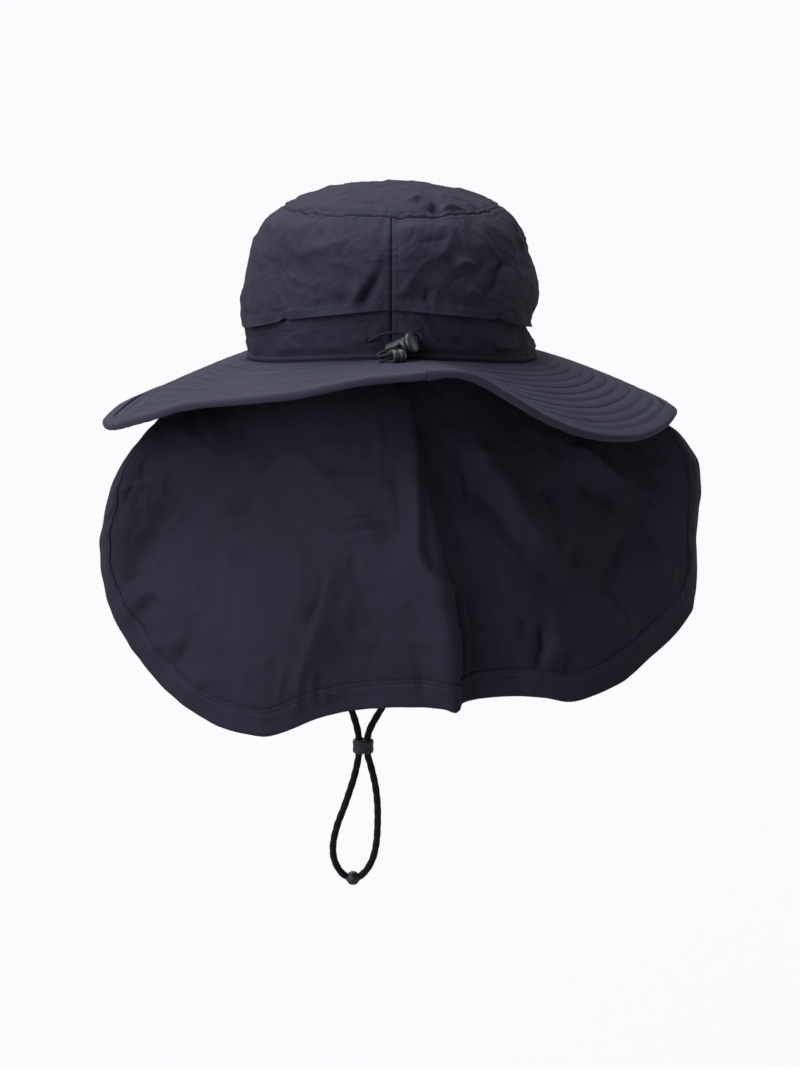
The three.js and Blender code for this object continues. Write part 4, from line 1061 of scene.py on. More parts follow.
def brim():
    """The brim: its skin, quilted by rings of stitching. Between two rings the cloth lies in a low pillow,
    and each ring pulls in a groove with small puckers."""
    bearings = BINDING_JOINT + np.linspace(0, 360, 430, endpoint=False)
    rings = FIRST_RING + RING_SPACING * np.arange(RING_COUNT)
    outs = spaced(0, BRIM_WIDTH, 52, dense=rings)
    bearing, out = np.meshgrid(bearings, outs)
    share = out / BRIM_WIDTH
    point = brim_skin(bearing, share)
    normal = brim_normal(bearing, share)
    angle = np.radians(bearing)
    from_first = (out - FIRST_RING) / RING_SPACING
    phase = np.abs(from_first - np.round(from_first))
    stitched = smooth(out, 3, 6) * (1 - smooth(out, BRIM_WIDTH - 9, BRIM_WIDTH - 6))
    pillow = 0.75 * np.sqrt(np.clip(2 * phase, 0, 1)) * stitched
    around = np.stack([np.cos(angle), np.sin(angle)]) * (55 + out) / 4.2
    pleats = rumple(around[0] + 30, around[1] + 30, 17) * bump(phase * 2.4) * 0.32 * stitched
    soft = wrinkles(point[..., 0], point[..., 1], 55, 23) * 0.35 * smooth(out, 0, 12)
    rise = pillow + pleats + soft - 0.5 * bump(phase * RING_SPACING / 0.8) * stitched
    tucked = smooth(out, BRIM_WIDTH - BINDING_WIDTH - 0.8, BRIM_WIDTH - BINDING_WIDTH + 0.4)
    rise = rise * (1 - tucked) - 0.15 * tucked
    top = point + normal * rise[..., None]
    under = point - normal * (BRIM_WALL + rise * 0.7)[..., None]
    uv = ring_map(np.stack([angle * BRIM_MAP_RADIUS, out], -1), 2 * np.pi * BRIM_MAP_RADIUS)
    piece = dress(wall("brim_cloth", top, under, uv, ring=True), "brim", nodes=["brim"])
    at = [nearest(outs, ring) for ring in rings]
    upper = [(closed(top[k]), closed(normal[k])) for k in at]
    lower = [(closed(under[k]), -closed(normal[k])) for k in at]
    return piece, upper, lower


# How far in from the edge the binding is stitched
BINDING_ROW = 4.8


def binding():
    """The brim's binding: a tape folded round the edge, a rounded U section carried round the brim, with one
    end lapped over the other at the back and small puckers under its stitching."""
    inside = BRIM_WALL / 2 + FIT * 0.6
    outside = BRIM_WALL / 2 + FIT + BINDING_WALL
    nose = [(0.2 + outside * 0.82 * math.cos(a), outside * math.sin(a)) for a in np.linspace(1.45, -1.45, 11)]
    hollow = [(0.05 + inside * 0.3 * math.cos(a), inside * math.sin(a)) for a in np.linspace(-1.45, 1.45, 5)]
    upper = [(-BINDING_WIDTH, outside - 0.5)]
    upper += [(-d, outside) for d in (6.0, 5.2, BINDING_ROW, 4.4, 3.4, 1.8)]
    section = upper + nose + [(x, -y) for x, y in reversed(upper)]
    section = np.array(section + [(-BINDING_WIDTH, -inside)] + hollow + [(-BINDING_WIDTH, inside)])
    gap = math.degrees(FIT / 2 / BRIM_HALF[1])
    bearings = np.concatenate([
        np.linspace(BINDING_JOINT + gap, BINDING_JOINT + 4, 24),
        np.linspace(BINDING_JOINT + 4.6, BINDING_JOINT + 356, 470),
        np.linspace(BINDING_JOINT + 356.4, BINDING_JOINT + 360 - gap, 16),
    ])
    one = np.ones_like(bearings)
    edge = brim_skin(bearings, one)
    normal = brim_normal(bearings, one)
    outward = unit(edge - brim_skin(bearings, one * 0.98))
    middle = edge - normal * BRIM_WALL / 2
    lap = 0.55 * (1 - smooth(bearings - BINDING_JOINT, 1.2, 3.4))
    ripple = rumple(bearings * 0.75, bearings * 0, 51) * 0.16
    grow = lap + ripple
    across, height = section[None, :, 0], section[None, :, 1]
    on_face = np.abs(height) > inside + 0.1
    up = height + np.sign(height) * grow[:, None] * on_face
    stitch = (np.abs(across + BINDING_ROW) < 0.3) & on_face
    up = up - np.sign(up) * stitch * 0.2
    out = across + np.where(across > 0.3, grow[:, None] * 0.5, 0)
    rings = middle[:, None] + out[..., None] * outward[:, None] + up[..., None] * normal[:, None]
    tape = swept("brim_edge_binding", rings, uv_step=2.2)
    piece = dress(tape, "brim", nodes=["brim_binding"])
    over, under = 3, len(upper) + len(nose) + 3
    return piece, [(rings[:, over], normal), (rings[:, under], -normal)]


# The neck flap

FLAP_ROWS = FLAP_EDGE * np.array([FLAP_REACH, FLAP_HALF_WIDTH, FLAP_DEPTH, -FLAP_DROP])
FLAP_RUN = run_along(FLAP_ROWS[:, 1:])
FLAP_TABLE = np.column_stack([FLAP_RUN, FLAP_ROWS])


def flap_edge(run):
    """The flap's free edge at a distance run along it."""
    return np.stack([curve(FLAP_TABLE, k, run) for k in (2, 3, 4)], -1)


def flap_seam(run):
    """Where the flap is sewn in: against the brim's underside, just outside the band."""
    bearing = curve(FLAP_TABLE, 1, run)
    zero = np.zeros_like(bearing)
    normal = skin_normal(crown_skin, bearing, zero)
    seam = crown_skin(bearing, zero) + normal * (BAND_OUT + FIT + FLAP_WALL / 2)
    seam[..., 2] = base_height(bearing) - BRIM_WALL - 2 * FIT
    return seam


def fold_relief(x, z):
    """Height of the flap's main folds: each a bell across its line, with its own reach to each side."""
    total = np.zeros_like(x)
    for x0, z0, x1, z1, height, left, right in FLAP_FOLDS:
        start = np.array([x0 * FLAP_HALF_WIDTH, -z0 * FLAP_DROP])
        line = np.array([x1 * FLAP_HALF_WIDTH, -z1 * FLAP_DROP]) - start
        length = np.hypot(*line)
        dx, dz = x - start[0], z - start[1]
        share = (dx * line[0] + dz * line[1]) / length ** 2
        across = -(dx * line[1] - dz * line[0]) / length
        reach = np.where(across > 0, right, left) * FLAP_HALF_WIDTH
        past = np.maximum(np.maximum(-share, share - 1), 0) * length
        total += height * FOLD_HEIGHT * bump(np.hypot(across, past) / reach)
    return total


def flap_skin(run, share):
    """The flap's middle surface: straight from seam to edge, bowed out by half a sine, pushed out by the
    folds, and turned forward at its two sides."""
    seam, edge = flap_seam(run), flap_edge(run)
    length = np.linalg.norm(edge - seam, axis=-1)
    side = smooth(np.abs(curve(FLAP_TABLE, 1, run)) / FLAP_REACH, 0.6, 0.84)
    curl = SIDE_CURL * side * (1 - (1 - share) ** 3) * (1 - share ** 14)
    point = mix(seam, edge, share[..., None])
    out = np.stack([point[..., 0], point[..., 1] * (FLAP_HALF_WIDTH / FLAP_DEPTH), np.zeros_like(share)], -1)
    hang = np.sin(np.pi * np.clip(share, 0, 1))
    bow = FLAP_BULGE * hang * np.clip(length / FLAP_DROP, 0, 1)
    fold = fold_relief(point[..., 0], point[..., 2]) * np.maximum(hang, 0) ** 0.7
    point = point + unit(out) * (bow + fold)[..., None]
    point[..., 1] -= curl
    point[..., 2] += bow / 2
    return point


def outward_normals(points):
    """The flap's normals, turned away from the head."""
    normal = grid_normals(points)
    x, y = points[..., 0], points[..., 1]
    away = np.stack([x, y - 20, np.zeros_like(x)], -1)
    return normal * np.sign(np.einsum("ijk,ijk->ij", normal, away).mean())


HEM_STITCH = 3.2

# Rows of points across the hem, in millimetres from the flap's edge, close together where it ends
HEM_ROWS = np.array([0, 0.6, 2.5, 5, 7.5, 10, 12.2, 12.8, 13.4, 15.2, 15.75, 16.0, 16.06, 16.4, 17.2])


def neck_flap():
    """The flap's cloth: the skin with its creases, then a hem of doubled cloth turned to the outside, whose
    folded edge stands a little proud of the single cloth."""
    runs = np.linspace(0, FLAP_RUN[-1], 400)
    fine = np.linspace(1, 0, 120)
    run, share = np.meshgrid(runs, fine)
    middle = flap_skin(run, share)
    edge_way = unit(np.gradient(middle[0], axis=0))
    steps = np.linalg.norm(np.cross(np.diff(middle, axis=0), edge_way[None]), axis=2)
    width = np.concatenate([np.zeros((1, len(runs))), np.cumsum(steps, axis=0)])
    hem = np.minimum(HEM_WIDTH, width[-1] * 0.6)
    rows = HEM_ROWS / HEM_WIDTH
    down = np.linspace(0, 1, 84)[1:]
    shares = np.empty((len(rows) + len(down), len(runs)))
    for k in range(len(runs)):
        across_hem = np.interp(rows * hem[k], width[:, k], fine)
        shares[:, k] = np.concatenate([across_hem, across_hem[-1] * (1 - down)])
    run = np.broadcast_to(runs[None], shares.shape)
    point = flap_skin(run, shares)
    normal = outward_normals(point)
    from_edge = column_lengths(point)
    inside = np.concatenate([rows * HEM_WIDTH, np.full(len(down), HEM_WIDTH + 1.2)])[:, None]
    x, z = point[..., 0], point[..., 2]
    drawn = creases(x, z, FLAP_CREASES)
    soft = wrinkles(x + 0.2 * z, z, 46, 61) * 1.5 + wrinkles(x, z * 0.8, 17, 65) * 0.65
    soft += wrinkles(x + 0.4 * z, z, 8, 67) * 0.22
    settle = smooth(shares, 0.02, 0.3)
    facing = mix(0.25, 1, smooth(np.abs(normal[..., 1]), 0.25, 0.7))
    hem_fade = mix(1, 0.35, smooth(HEM_WIDTH - from_edge, 0, 12))
    relief = (2.3 * drawn + 1.7 * soft) * settle * facing * hem_fade
    relief += puckers(run, np.abs(from_edge - HEM_WIDTH), 6.5, 11, 81) * 0.6
    relief += puckers(run, from_edge, 9, 9, 83) * 0.5
    point = point + normal * relief[..., None]
    normal = outward_normals(point)
    rolled = mix(0.25, 1, np.sqrt(np.clip(1 - (1 - np.clip(inside / 0.9, 0, 1)) ** 2, 0, 1)))
    hem_out = HEM_WALL / 2 + 0.25 - 0.25 * bump((inside - HEM_WIDTH + HEM_STITCH) / 0.7)
    hem_out = hem_out * (1 - 0.45 * smooth(inside, HEM_WIDTH - 0.3, HEM_WIDTH))
    in_hem = inside <= HEM_WIDTH
    outward = np.where(in_hem, rolled * hem_out, FLAP_WALL / 2 - 0.4 * bump((inside - HEM_WIDTH) / 0.6))
    inward = np.where(in_hem, rolled * HEM_WALL / 2, FLAP_WALL / 2)
    flat = normal.copy()
    flat[..., 2] = np.where(shares < 0.01, 0, flat[..., 2])
    outer = point + flat * outward[..., None]
    inner = point - flat * inward[..., None]
    uv = np.stack([run, from_edge], -1)
    piece = dress(wall("neck_flap_cloth", outer, inner, uv), "flap", nodes=["neck_flap"])
    k = nearest(rows * HEM_WIDTH, HEM_WIDTH - HEM_STITCH)
    cells = np.cross(np.diff(point, axis=0)[:, :-1], np.diff(point, axis=1)[:-1])
    area = float(np.linalg.norm(cells, axis=2).sum())
    return piece, [(outer[k], normal[k]), (inner[k], -normal[k])], area


# Cords, eyelets and the cord lock

LOCK_START = np.array([-1.3, -103.5, 15.5])
LOCK_YAW = math.radians(25)
LOCK_RISE = math.radians(24)
LOCK_LENGTH = 13.0
LOCK_RADIUS = 5.0
LOCK_BORE = 3.9
LOCK_HOLE_AT = 9.6
STRAND_SPACING = 2.2
BUTTON_GAP = 1.4
BORE_DEPTH = 1.75
STEM_DEPTH = 0.5
BUTTON_RADIUS = 6.2
LOCK_AXIS = np.array([
    math.cos(LOCK_RISE) * math.cos(LOCK_YAW), -math.cos(LOCK_RISE) * math.sin(LOCK_YAW), math.sin(LOCK_RISE),
])
LOCK_OUT = np.array([-math.sin(LOCK_YAW), -math.cos(LOCK_YAW), 0.0])
LOCK_UP = np.cross(LOCK_AXIS, LOCK_OUT)
LOCK_UP = LOCK_UP * np.sign(LOCK_UP[2]) / np.linalg.norm(LOCK_UP)
CORD_END_CENTRE = np.array([3.9, -118.4, 15.2])
CORD_END_YAW = math.radians(28)
CORD_END_LENGTH = 9.0
CORD_END_RADIUS = 4.0
END_AXIS = np.array([math.cos(CORD_END_YAW), math.sin(CORD_END_YAW), 0.0])
EYELETS = {"left": (-8.4, 10.9), "right": (9.5, 12.9)}
EYELET_RADIUS = 2.5
EYELET_ROLL = 0.75
CHIN_CORD_RADIUS = 2.2


def lock_place(s, out, up):
    """A point of the lock: s along its axis, then out from the crown and up."""
    return LOCK_START + LOCK_AXIS * s + LOCK_OUT * out + LOCK_UP * up


def end_place(s, up):
    """A point of the cord end: s along its axis, then up."""
    return CORD_END_CENTRE + END_AXIS * (s - CORD_END_LENGTH / 2) + np.array([0, 0, up])


def eyelet_seat(side):
    """Where an eyelet lies on the band: its centre and its normal."""
    bearing, height = (np.array(float(value)) for value in EYELETS[side])
    share = height / crown_span(bearing)
    normal = skin_normal(crown_skin, bearing, share)
    return crown_skin(bearing, share) + normal * BAND_OUT, normal


def drawcord_route(side):
    """One strand: out of its eyelet, round behind the lock, through it, and back in a loop to the cord
    end."""
    centre, normal = eyelet_seat(side)
    start = [centre - normal * 1.5, centre + normal * (2 * EYELET_ROLL + FIT)]
    if side == "left":
        before = [[-9.5, -101.6, 23.6], [-5, -102, 25.6], [0.5, -101.8, 26.6], [5.2, -101, 25.6],
                  [8.6, -100.6, 23]]
        up = STRAND_SPACING / 2
        loop = [[2.2, -115, 20], [-1.4, -115.3, 18.9], [-5, -115.9, 17.3], [-7.6, -117.6, 15.9],
                [-7.4, -119.8, 15.4], [-4.6, -121.4, 15.7]]
    else:
        before = [[14.3, -100.9, 22.4], [12.4, -101, 20]]
        up = -STRAND_SPACING / 2
        loop = [[2, -114.2, 17.4], [-1.4, -114.4, 16.1], [-4.4, -115.2, 14.5], [-6.4, -117.2, 13.3],
                [-6, -119.6, 12.9], [-4, -121.2, 13.2]]
    through = [lock_place(LOCK_HOLE_AT, out, up) for out in (-6, -3.5, 0, 3.5, 6)]
    end = [end_place(s, up * 0.95) for s in (-1.5, 1, 3.7)]
    return np.array([*start, *before, *through, *loop, *end], float)


CHIN_CORD_ROUTE = [
    (-83.4, 4, -4.5), (-82.6, 4.2, -13), (-79.6, 5, -28), (-72, 6.5, -60), (-61.5, 8, -100),
    (-50, 9.2, -140), (-38, 9.8, -178), (-28, 10, -208), (-22, 10, -226), (-20.4, 10, -234),
    (-20.2, 10, -240), (-20.4, 10, -246), (-22.8, 10, -258), (-28.5, 10, -276), (-33.9, 10, -291),
    (-36.2, 10, -303), (-35.4, 10, -311.5), (-31.6, 10, -319), (-27, 10, -322.6), (-24, 10, -323.1),
    (-21, 10, -322.6), (-16.2, 10, -318.6), (-12, 10, -311), (-9.7, 10, -301), (-8.9, 10, -289),
    (-9, 10, -276), (-10.4, 10, -264), (-13.4, 10, -251), (-14.8, 10, -246), (-15, 10, -240),
    (-14.8, 10, -234), (-12.8, 10, -228), (-4.5, 10, -213), (11, 10, -180), (31, 9.2, -138),
    (50, 8, -96), (66, 6.5, -58), (78, 5, -27), (82.2, 4.2, -13), (83.4, 4, -4.5),
]


def drawcord(side):
    """One strand of the drawcord, a fine braid along its route. Returns the piece and its path."""
    size = bpy.context.scene.cap_cords
    line = smooth_line(drawcord_route(side), 190)
    rings = braid(line, size.drawcord_diameter / MM / 2, 12, 8, 1.5, 0.1)
    strand = swept(f"drawcord_strand_{side}", rings, uv_step=0.45)
    return dress(strand, "drawcord", nodes=[f"drawcord_{side}"]), line


def eyelet(side):
    """A worked eyelet: a torus whose roll is ridged by close radial stitches."""
    centre, normal = eyelet_seat(side)
    middle = centre + normal * (EYELET_ROLL + FIT)
    across = unit(np.cross(normal, [0.0, 0.0, 1.0]))
    up = np.cross(across, normal)
    turns = (np.linspace(0, 2 * np.pi, count, endpoint=False) for count in (264, 16))
    ring, roll = np.meshgrid(*turns)
    thick = EYELET_ROLL * (0.86 + 0.16 * np.abs(np.cos(ring * 22)) + 0.08 * rumple(ring * 5, roll, 5))
    reach = EYELET_RADIUS + thick * np.cos(roll)
    points = middle + reach[..., None] * (np.cos(ring)[..., None] * across + np.sin(ring)[..., None] * up)
    points = points + (thick * np.sin(roll) * 0.8)[..., None] * normal
    satin = swept(f"eyelet_satin_ring_{side}", np.swapaxes(points, 0, 1), closed=True)
    return dress(satin, "thread", nodes=[f"eyelet_{side}"])


def lock_barrel():
    """The lock's barrel, turned, with the cords' slots through its sides and a moulded window on its outer
    side."""
    lip, rim = 0.8, 1.1

    def recesses(s, turn):
        side, up = np.cos(turn), np.sin(turn) * LOCK_RADIUS
        slot = smooth(2.4 - np.hypot((s - LOCK_HOLE_AT) * 1.7, up * 0.92), 0, 0.5)
        window = smooth(2.2 - np.abs(s - 3.7), 0, 0.4) * smooth(1.5 - np.abs(up), 0, 0.4) * (side > 0)
        end = smooth(s, 0.4, 1.2) * smooth(LOCK_LENGTH - s, 0.3, 0.8)
        return -(2.4 * slot + 0.8 * window * (1 - slot)) * end

    straight = [(s, LOCK_RADIUS) for s in np.linspace(lip + 0.4, LOCK_LENGTH - 0.6, 60)]
    profile = rounded([(0, 0.02), (0, LOCK_RADIUS - lip), (lip, LOCK_RADIUS)], 0.6).tolist() + straight
    bore_end = LOCK_LENGTH - BORE_DEPTH
    profile += [(LOCK_LENGTH - 0.2, LOCK_RADIUS - 0.1), (LOCK_LENGTH, LOCK_RADIUS - 0.4),
                (LOCK_LENGTH, LOCK_RADIUS - rim), (bore_end, LOCK_RADIUS - rim), (bore_end, 0.02)]
    barrel = lathe("cord_lock_barrel", profile, LOCK_START, LOCK_AXIS, 120, recesses)
    return dress(barrel, "lock", nodes=["cord_lock_body"])


def lock_button():
    """The lock's button: a stem up the barrel's bore and a domed head with a soft rim."""
    stem = LOCK_BORE - FIT
    head = LOCK_LENGTH + BUTTON_GAP
    foot = LOCK_LENGTH - STEM_DEPTH
    dome = [
        (head + 1.4 + 1.8 * math.sin(a), (BUTTON_RADIUS - 0.1) * math.cos(a) ** 0.8)
        for a in np.linspace(0.25, 1.5, 12)
    ]
    profile = rounded([
        (foot, 0.02), (foot, stem), (head, stem), (head, BUTTON_RADIUS - 0.25),
        (head + 0.35, BUTTON_RADIUS), (head + 1.3, BUTTON_RADIUS), *dome, (head + 3.2, 0.02),
    ], 0.35, 5)
    button = lathe("cord_lock_push_button", profile, LOCK_START, LOCK_AXIS, 96)
    return dress(button, "lock", body=BUTTON_BODY, nodes=["cord_lock_button"])


def cord_end():
    """The cord end: two moulded lobes, the nearer one with a recessed mouth that both strands go into."""
    length, radius = CORD_END_LENGTH, CORD_END_RADIUS
    profile = rounded([
        (1.6, 0.02), (1.5, 2.0), (0, 2.3), (0, radius * 0.84), (length * 0.12, radius * 0.98),
        (length * 0.33, radius * 0.98), (length * 0.43, radius * 0.78), (length * 0.54, radius),
        (length * 0.76, radius), (length * 0.94, radius * 0.74), (length, 0.02),
    ], 0.9, 7)
    toggle = lathe("cord_end_toggle", profile, end_place(0, 0), END_AXIS, 72)
    return dress(toggle, "cord_end", nodes=["cord_end"])


SLIDER_CENTRE = np.array([-17.6, 10.0, -240.0])
SLIDER_HALF_WIDTH = 6.4
SLIDER_HALF_DEPTH = 5.4
SLIDER_HEIGHT = 8.6
SLIDER_EDGE = 1.6
SLIDER_FLAT = 0.72
SLIDER_SIDES = 96
SLIDER_BLUNTNESS = 2.4
BEAD_CENTRE = np.array([-24.0, 10.0, -323.1])
BEAD_RADIUS = 4.3


def chin_slider():
    """The slider: an oval barrel with rounded ends, a faint waist, and a mouth round each of the cord's two
    runs. Its oval is a superellipse."""
    half = SLIDER_HEIGHT / 2
    side = [(s, 1.0) for s in np.linspace(-half + SLIDER_EDGE, half - SLIDER_EDGE, 14)]
    low = [
        (-half + SLIDER_EDGE - SLIDER_EDGE * math.sin(a), 1 - 0.26 * (1 - math.cos(a)))
        for a in np.linspace(1.5, 0.1, 8)
    ]
    high = [(-s, r) for s, r in reversed(low)]
    flat_low = [(-half, r) for r in np.linspace(0.005, SLIDER_FLAT, 26)]
    flat_high = [(half, r) for r in np.linspace(SLIDER_FLAT, 0.005, 26)]
    profile = np.array(flat_low + low + side + high + flat_high)
    turn, s = np.meshgrid(np.linspace(0, 2 * np.pi, SLIDER_SIDES, endpoint=False), profile[:, 0])
    waist = 1 - 0.035 * bump(s / 1.6)
    reach = np.repeat(profile[:, 1:2], SLIDER_SIDES, axis=1) * waist
    power = SLIDER_BLUNTNESS
    blunt = (np.abs(np.cos(turn)) ** power + np.abs(np.sin(turn)) ** power) ** (-1 / power)
    x = SLIDER_HALF_WIDTH * reach * blunt * np.cos(turn)
    y = SLIDER_HALF_DEPTH * reach * blunt * np.sin(turn)
    mouth = sum(
        1 - smooth(np.hypot(x - at, y), CHIN_CORD_RADIUS, CHIN_CORD_RADIUS + 0.5)
        for at in (-2.6, 2.6)
    )
    z = s - np.sign(s) * np.clip(mouth, 0, 1) * 1.2 * (np.abs(s) > half - 0.2)
    points = np.stack([x, y, z], -1) + SLIDER_CENTRE
    return dress(swept("chin_cord_slider", points), "slider", nodes=["chin_slider"])


def chin_bead():
    """The bead: a ball with a mouth round each end of its bore, which the cord's loop runs through."""
    angles = np.linspace(0.005, math.pi - 0.005, 56)
    profile = [(-BEAD_RADIUS * math.cos(a), BEAD_RADIUS * math.sin(a)) for a in angles]

    def mouths(s, turn):
        reach = np.sqrt(np.maximum(BEAD_RADIUS ** 2 - s ** 2, 0))
        return -0.35 * bump((reach - CHIN_CORD_RADIUS - 0.5) / 0.6)

    bead = lathe("chin_cord_bead", profile, BEAD_CENTRE, (1, 0, 0), 72, mouths)
    return dress(bead, "slider", nodes=["chin_bead"])


def chin_cord():
    """The chin cord: a round braid on one smooth curve from temple to temple. Returns the piece and its
    path."""
    size = bpy.context.scene.cap_cords
    line = smooth_line(CHIN_CORD_ROUTE, 1320)
    rings = braid(line, size.chin_cord_diameter / MM / 2, 24, 12, 3.4, size.braid_relief / MM)
    piece = dress(swept("chin_cord_braid", rings, uv_step=0.5), "chin_cord", nodes=["chin_cord"])
    return piece, line


# What a user may change

def colour_property(name, description, colour):
    """A colour setting, its default given as an sRGB hex colour."""
    return FloatVectorProperty(name=name, description=description, subtype="COLOR", size=3, min=0, max=1,
                               default=to_linear(colour)[:3])


def length_property(name, description, millimetres, least=0.05):
    """A length setting, given in millimetres and kept in metres."""
    return FloatProperty(name=name, description=description, subtype="DISTANCE", unit="LENGTH", precision=5,
                         min=least * MM, default=millimetres * MM)


def share_property(name, description, value, most=100.0):
    """A plain number from 0 up."""
    return FloatProperty(name=name, description=description, min=0, max=most, default=value)


class CapColours(bpy.types.PropertyGroup):
    """Colours of the cloths, threads, cords and mouldings."""
    crown: colour_property("Crown", "Crown cloth where the dye took most", "#1b1b25")
    crown_light: colour_property("Crown, light", "Crown cloth where the dye took least", "#23232f")
    brim: colour_property("Brim", "Brim cloth where the dye took most", "#20202b")
    brim_light: colour_property("Brim, light", "Brim cloth where the dye took least", "#292935")
    flap: colour_property("Flap", "Flap cloth where the dye took most", "#16161f")
    flap_light: colour_property("Flap, light", "Flap cloth where the dye took least", "#1e1e29")
    thread: colour_property("Thread", "Sewing thread", "#2b2d3a")
    # Drawcord colours: the dark one is painted shade down between the strands, the light one painted light on
    # the raised filaments
    drawcord: colour_property("Drawcord", "Drawcord's strands", "#101116")
    drawcord_painted_light: colour_property("Drawcord, light", "Drawcord's upper filaments", "#1c1e24")
    # Chin cord colours: the dark one is painted shade down between the strands, the light one painted light
    # on the raised filaments
    chin_cord: colour_property("Chin cord", "Chin cord's strands", "#040506")
    chin_cord_painted_light: colour_property("Chin cord, light", "Chin cord's upper filaments", "#0a0b0e")
    lock: colour_property("Cord lock", "Cord lock and cord end", "#1d2026")
    lock_light: colour_property("Cord lock, light", "Cord lock's rubbed places", "#292d34")
    slider: colour_property("Slider", "Slider and bead", "#0a0b0e")
    slider_light: colour_property("Slider, light", "Slider's rubbed places", "#121419")
    floor: colour_property("Floor", "Studio board under the cap", "#9c9c9c")


class CapStitching(bpy.types.PropertyGroup):
    """Sewing sizes."""
    pitch: length_property("Stitch length", "Distance from one stitch to the next", 2.7, 0.5)
    thread: length_property("Thread", "Thickness of the sewing thread", 0.5, 0.1)


class CapCloth(bpy.types.PropertyGroup):
    """How worn and crumpled the cloth is."""
    creases: share_property("Creases", "Height of the creases, 1 as in use", 1.0, 2.0)


class CapCords(bpy.types.PropertyGroup):
    """Cord sizes."""
    drawcord_diameter: length_property("Drawcord", "Thickness of each drawcord strand", 1.8, 0.5)
    chin_cord_diameter: length_property("Chin cord", "Thickness of the chin cord", 4.4, 1.0)
    braid_relief: length_property("Braid relief", "Depth of the grooves between strands", 0.28)


class CapStage(bpy.types.PropertyGroup):
    """Camera, light and floor."""
    distance: length_property("Camera distance", "From the camera to the picture's middle", 2200.0, 300.0)
    elevation: FloatProperty(name="Camera elevation", description="How far the camera looks down",
                             subtype="ANGLE", unit="ROTATION", default=math.radians(10))
    lens: FloatProperty(name="Lens", description="Focal length for a 36 mm high sensor", unit="CAMERA",
                        default=123.7)
    floor_drop: length_property("Floor drop", "How far the floor is below the head opening", 750.0, 400.0)
    top_light: share_property("Top light", "Light on a face turned up", 2.2)
    left_light: share_property("Left light", "Light on a face turned to the left softbox", 1.5)
    high_light: share_property("High light", "Light on a face turned to the high left softbox", 0.7)
    right_light: share_property("Right light", "Light on a face turned to the right softbox", 0.3)
    fill_light: share_property("Fill light", "Even light from all round", 0.02)


def sew(name, rows, lift=0.0):
    """A piece of stitching along the rows of a piece."""
    return dress(stitches(name, rows, bpy.context.scene.cap_stitching, lift), "thread")


# Operators

PICTURE_MIDDLE = (4.8, 0.0, -106.9)
SENSOR_HEIGHT = 36.0
FLOOR_REACH = 250.0
SOFTBOX_POWER = 10.0


class CAP_OT_stage(bpy.types.Operator):
    """Camera at the photograph's angle, a light tent and a plain pale floor"""
    bl_idname = "cap.stage"
    bl_label = "Camera, light and floor"

    def execute(self, context):
        stage = context.scene.cap_stage
        target = np.array(PICTURE_MIDDLE) * MM
        back = np.array([0.0, -math.cos(stage.elevation), math.sin(stage.elevation)])
        data = bpy.data.cameras.new("camera")
        data.sensor_fit = "VERTICAL"
        data.sensor_height = SENSOR_HEIGHT
        data.lens = stage.lens
        data.clip_end = 500.0
        camera = bpy.data.objects.new("camera", data)
        context.scene.collection.objects.link(camera)
        camera.location = target + back * stage.distance
        camera.rotation_euler = Vector(-back).to_track_quat("-Z", "Y").to_euler()
        context.scene.camera = camera
        lay_floor(context, stage)
        light_tent(context, stage)
        context.scene.view_settings.view_transform = "Standard"
        return {"FINISHED"}


def lay_floor(context, stage):
    """A square floor far wider than the picture, at one height."""
    reach, drop = FLOOR_REACH, -stage.floor_drop
    mesh = bpy.data.meshes.new("floor")
    corners = [(-reach, -reach, drop), (reach, -reach, drop), (reach, reach, drop), (-reach, reach, drop)]
    mesh.from_pydata(corners, [], [(0, 1, 2, 3)])
    mesh.materials.append(material_named("floor"))
    floor = bpy.data.objects.new("floor", mesh)
    context.scene.collection.objects.link(floor)


def light_tent(context, stage):
    """The world as a light tent: each softbox is a lobe, its brightness times a power of the cosine between a
    direction and the softbox's own, over a weak even fill."""
    world = bpy.data.worlds.new("light_tent")
    world.use_nodes = True
    tree = world.node_tree
    tree.nodes.clear()
    way = add(tree, "ShaderNodeTexCoord").outputs["Generated"]
    total = stage.fill_light
    for direction, brightness in [
        ((-0.2, 0.35, 1.0), stage.top_light),
        ((-0.7, -0.3, 0.7), stage.high_light),
        ((-0.7, -0.7, 0.2), stage.left_light),
        ((1.0, 0.3, 0.15), stage.right_light),
    ]:
        aim = tuple(Vector(direction).normalized())
        facing = add(tree, "ShaderNodeVectorMath", {"operation": "DOT_PRODUCT"}, i0=way, i1=aim)
        front = add(tree, "ShaderNodeMath", {"operation": "MAXIMUM"}, i0=facing.outputs["Value"], i1=0.0)
        lobe = add(tree, "ShaderNodeMath", {"operation": "POWER"}, i0=front.outputs[0], i1=SOFTBOX_POWER)
        face_on = brightness * (SOFTBOX_POWER + 2) / 2
        total = add(tree, "ShaderNodeMath", {"operation": "MULTIPLY_ADD"}, i0=lobe.outputs[0], i1=face_on,
                    i2=total).outputs[0]
    glow = add(tree, "ShaderNodeBackground", None, Color=to_linear("#fcfcff"), Strength=total)
    output = tree.nodes.new("ShaderNodeOutputWorld")
    tree.links.new(glow.outputs[0], output.inputs["Surface"])
    context.scene.world = world


class CAP_OT_chin_cord(bpy.types.Operator):
    """The chin cord with its slider and bead"""
    bl_idname = "cap.chin_cord"
    bl_label = "Chin cord"

    def execute(self, context):
        piece, line = chin_cord()
        fittings = [chin_slider(), chin_bead()]
        path = resample(line, count=420) * MM
        return {"FINISHED"}


class CAP_OT_drawcords(bpy.types.Operator):
    """The drawcord's two strands, from the eyelets through the lock to the cord end"""
    bl_idname = "cap.drawcords"
    bl_label = "Drawcords"

    def execute(self, context):
        for side in ("left", "right"):
            piece, line = drawcord(side)
        return {"FINISHED"}


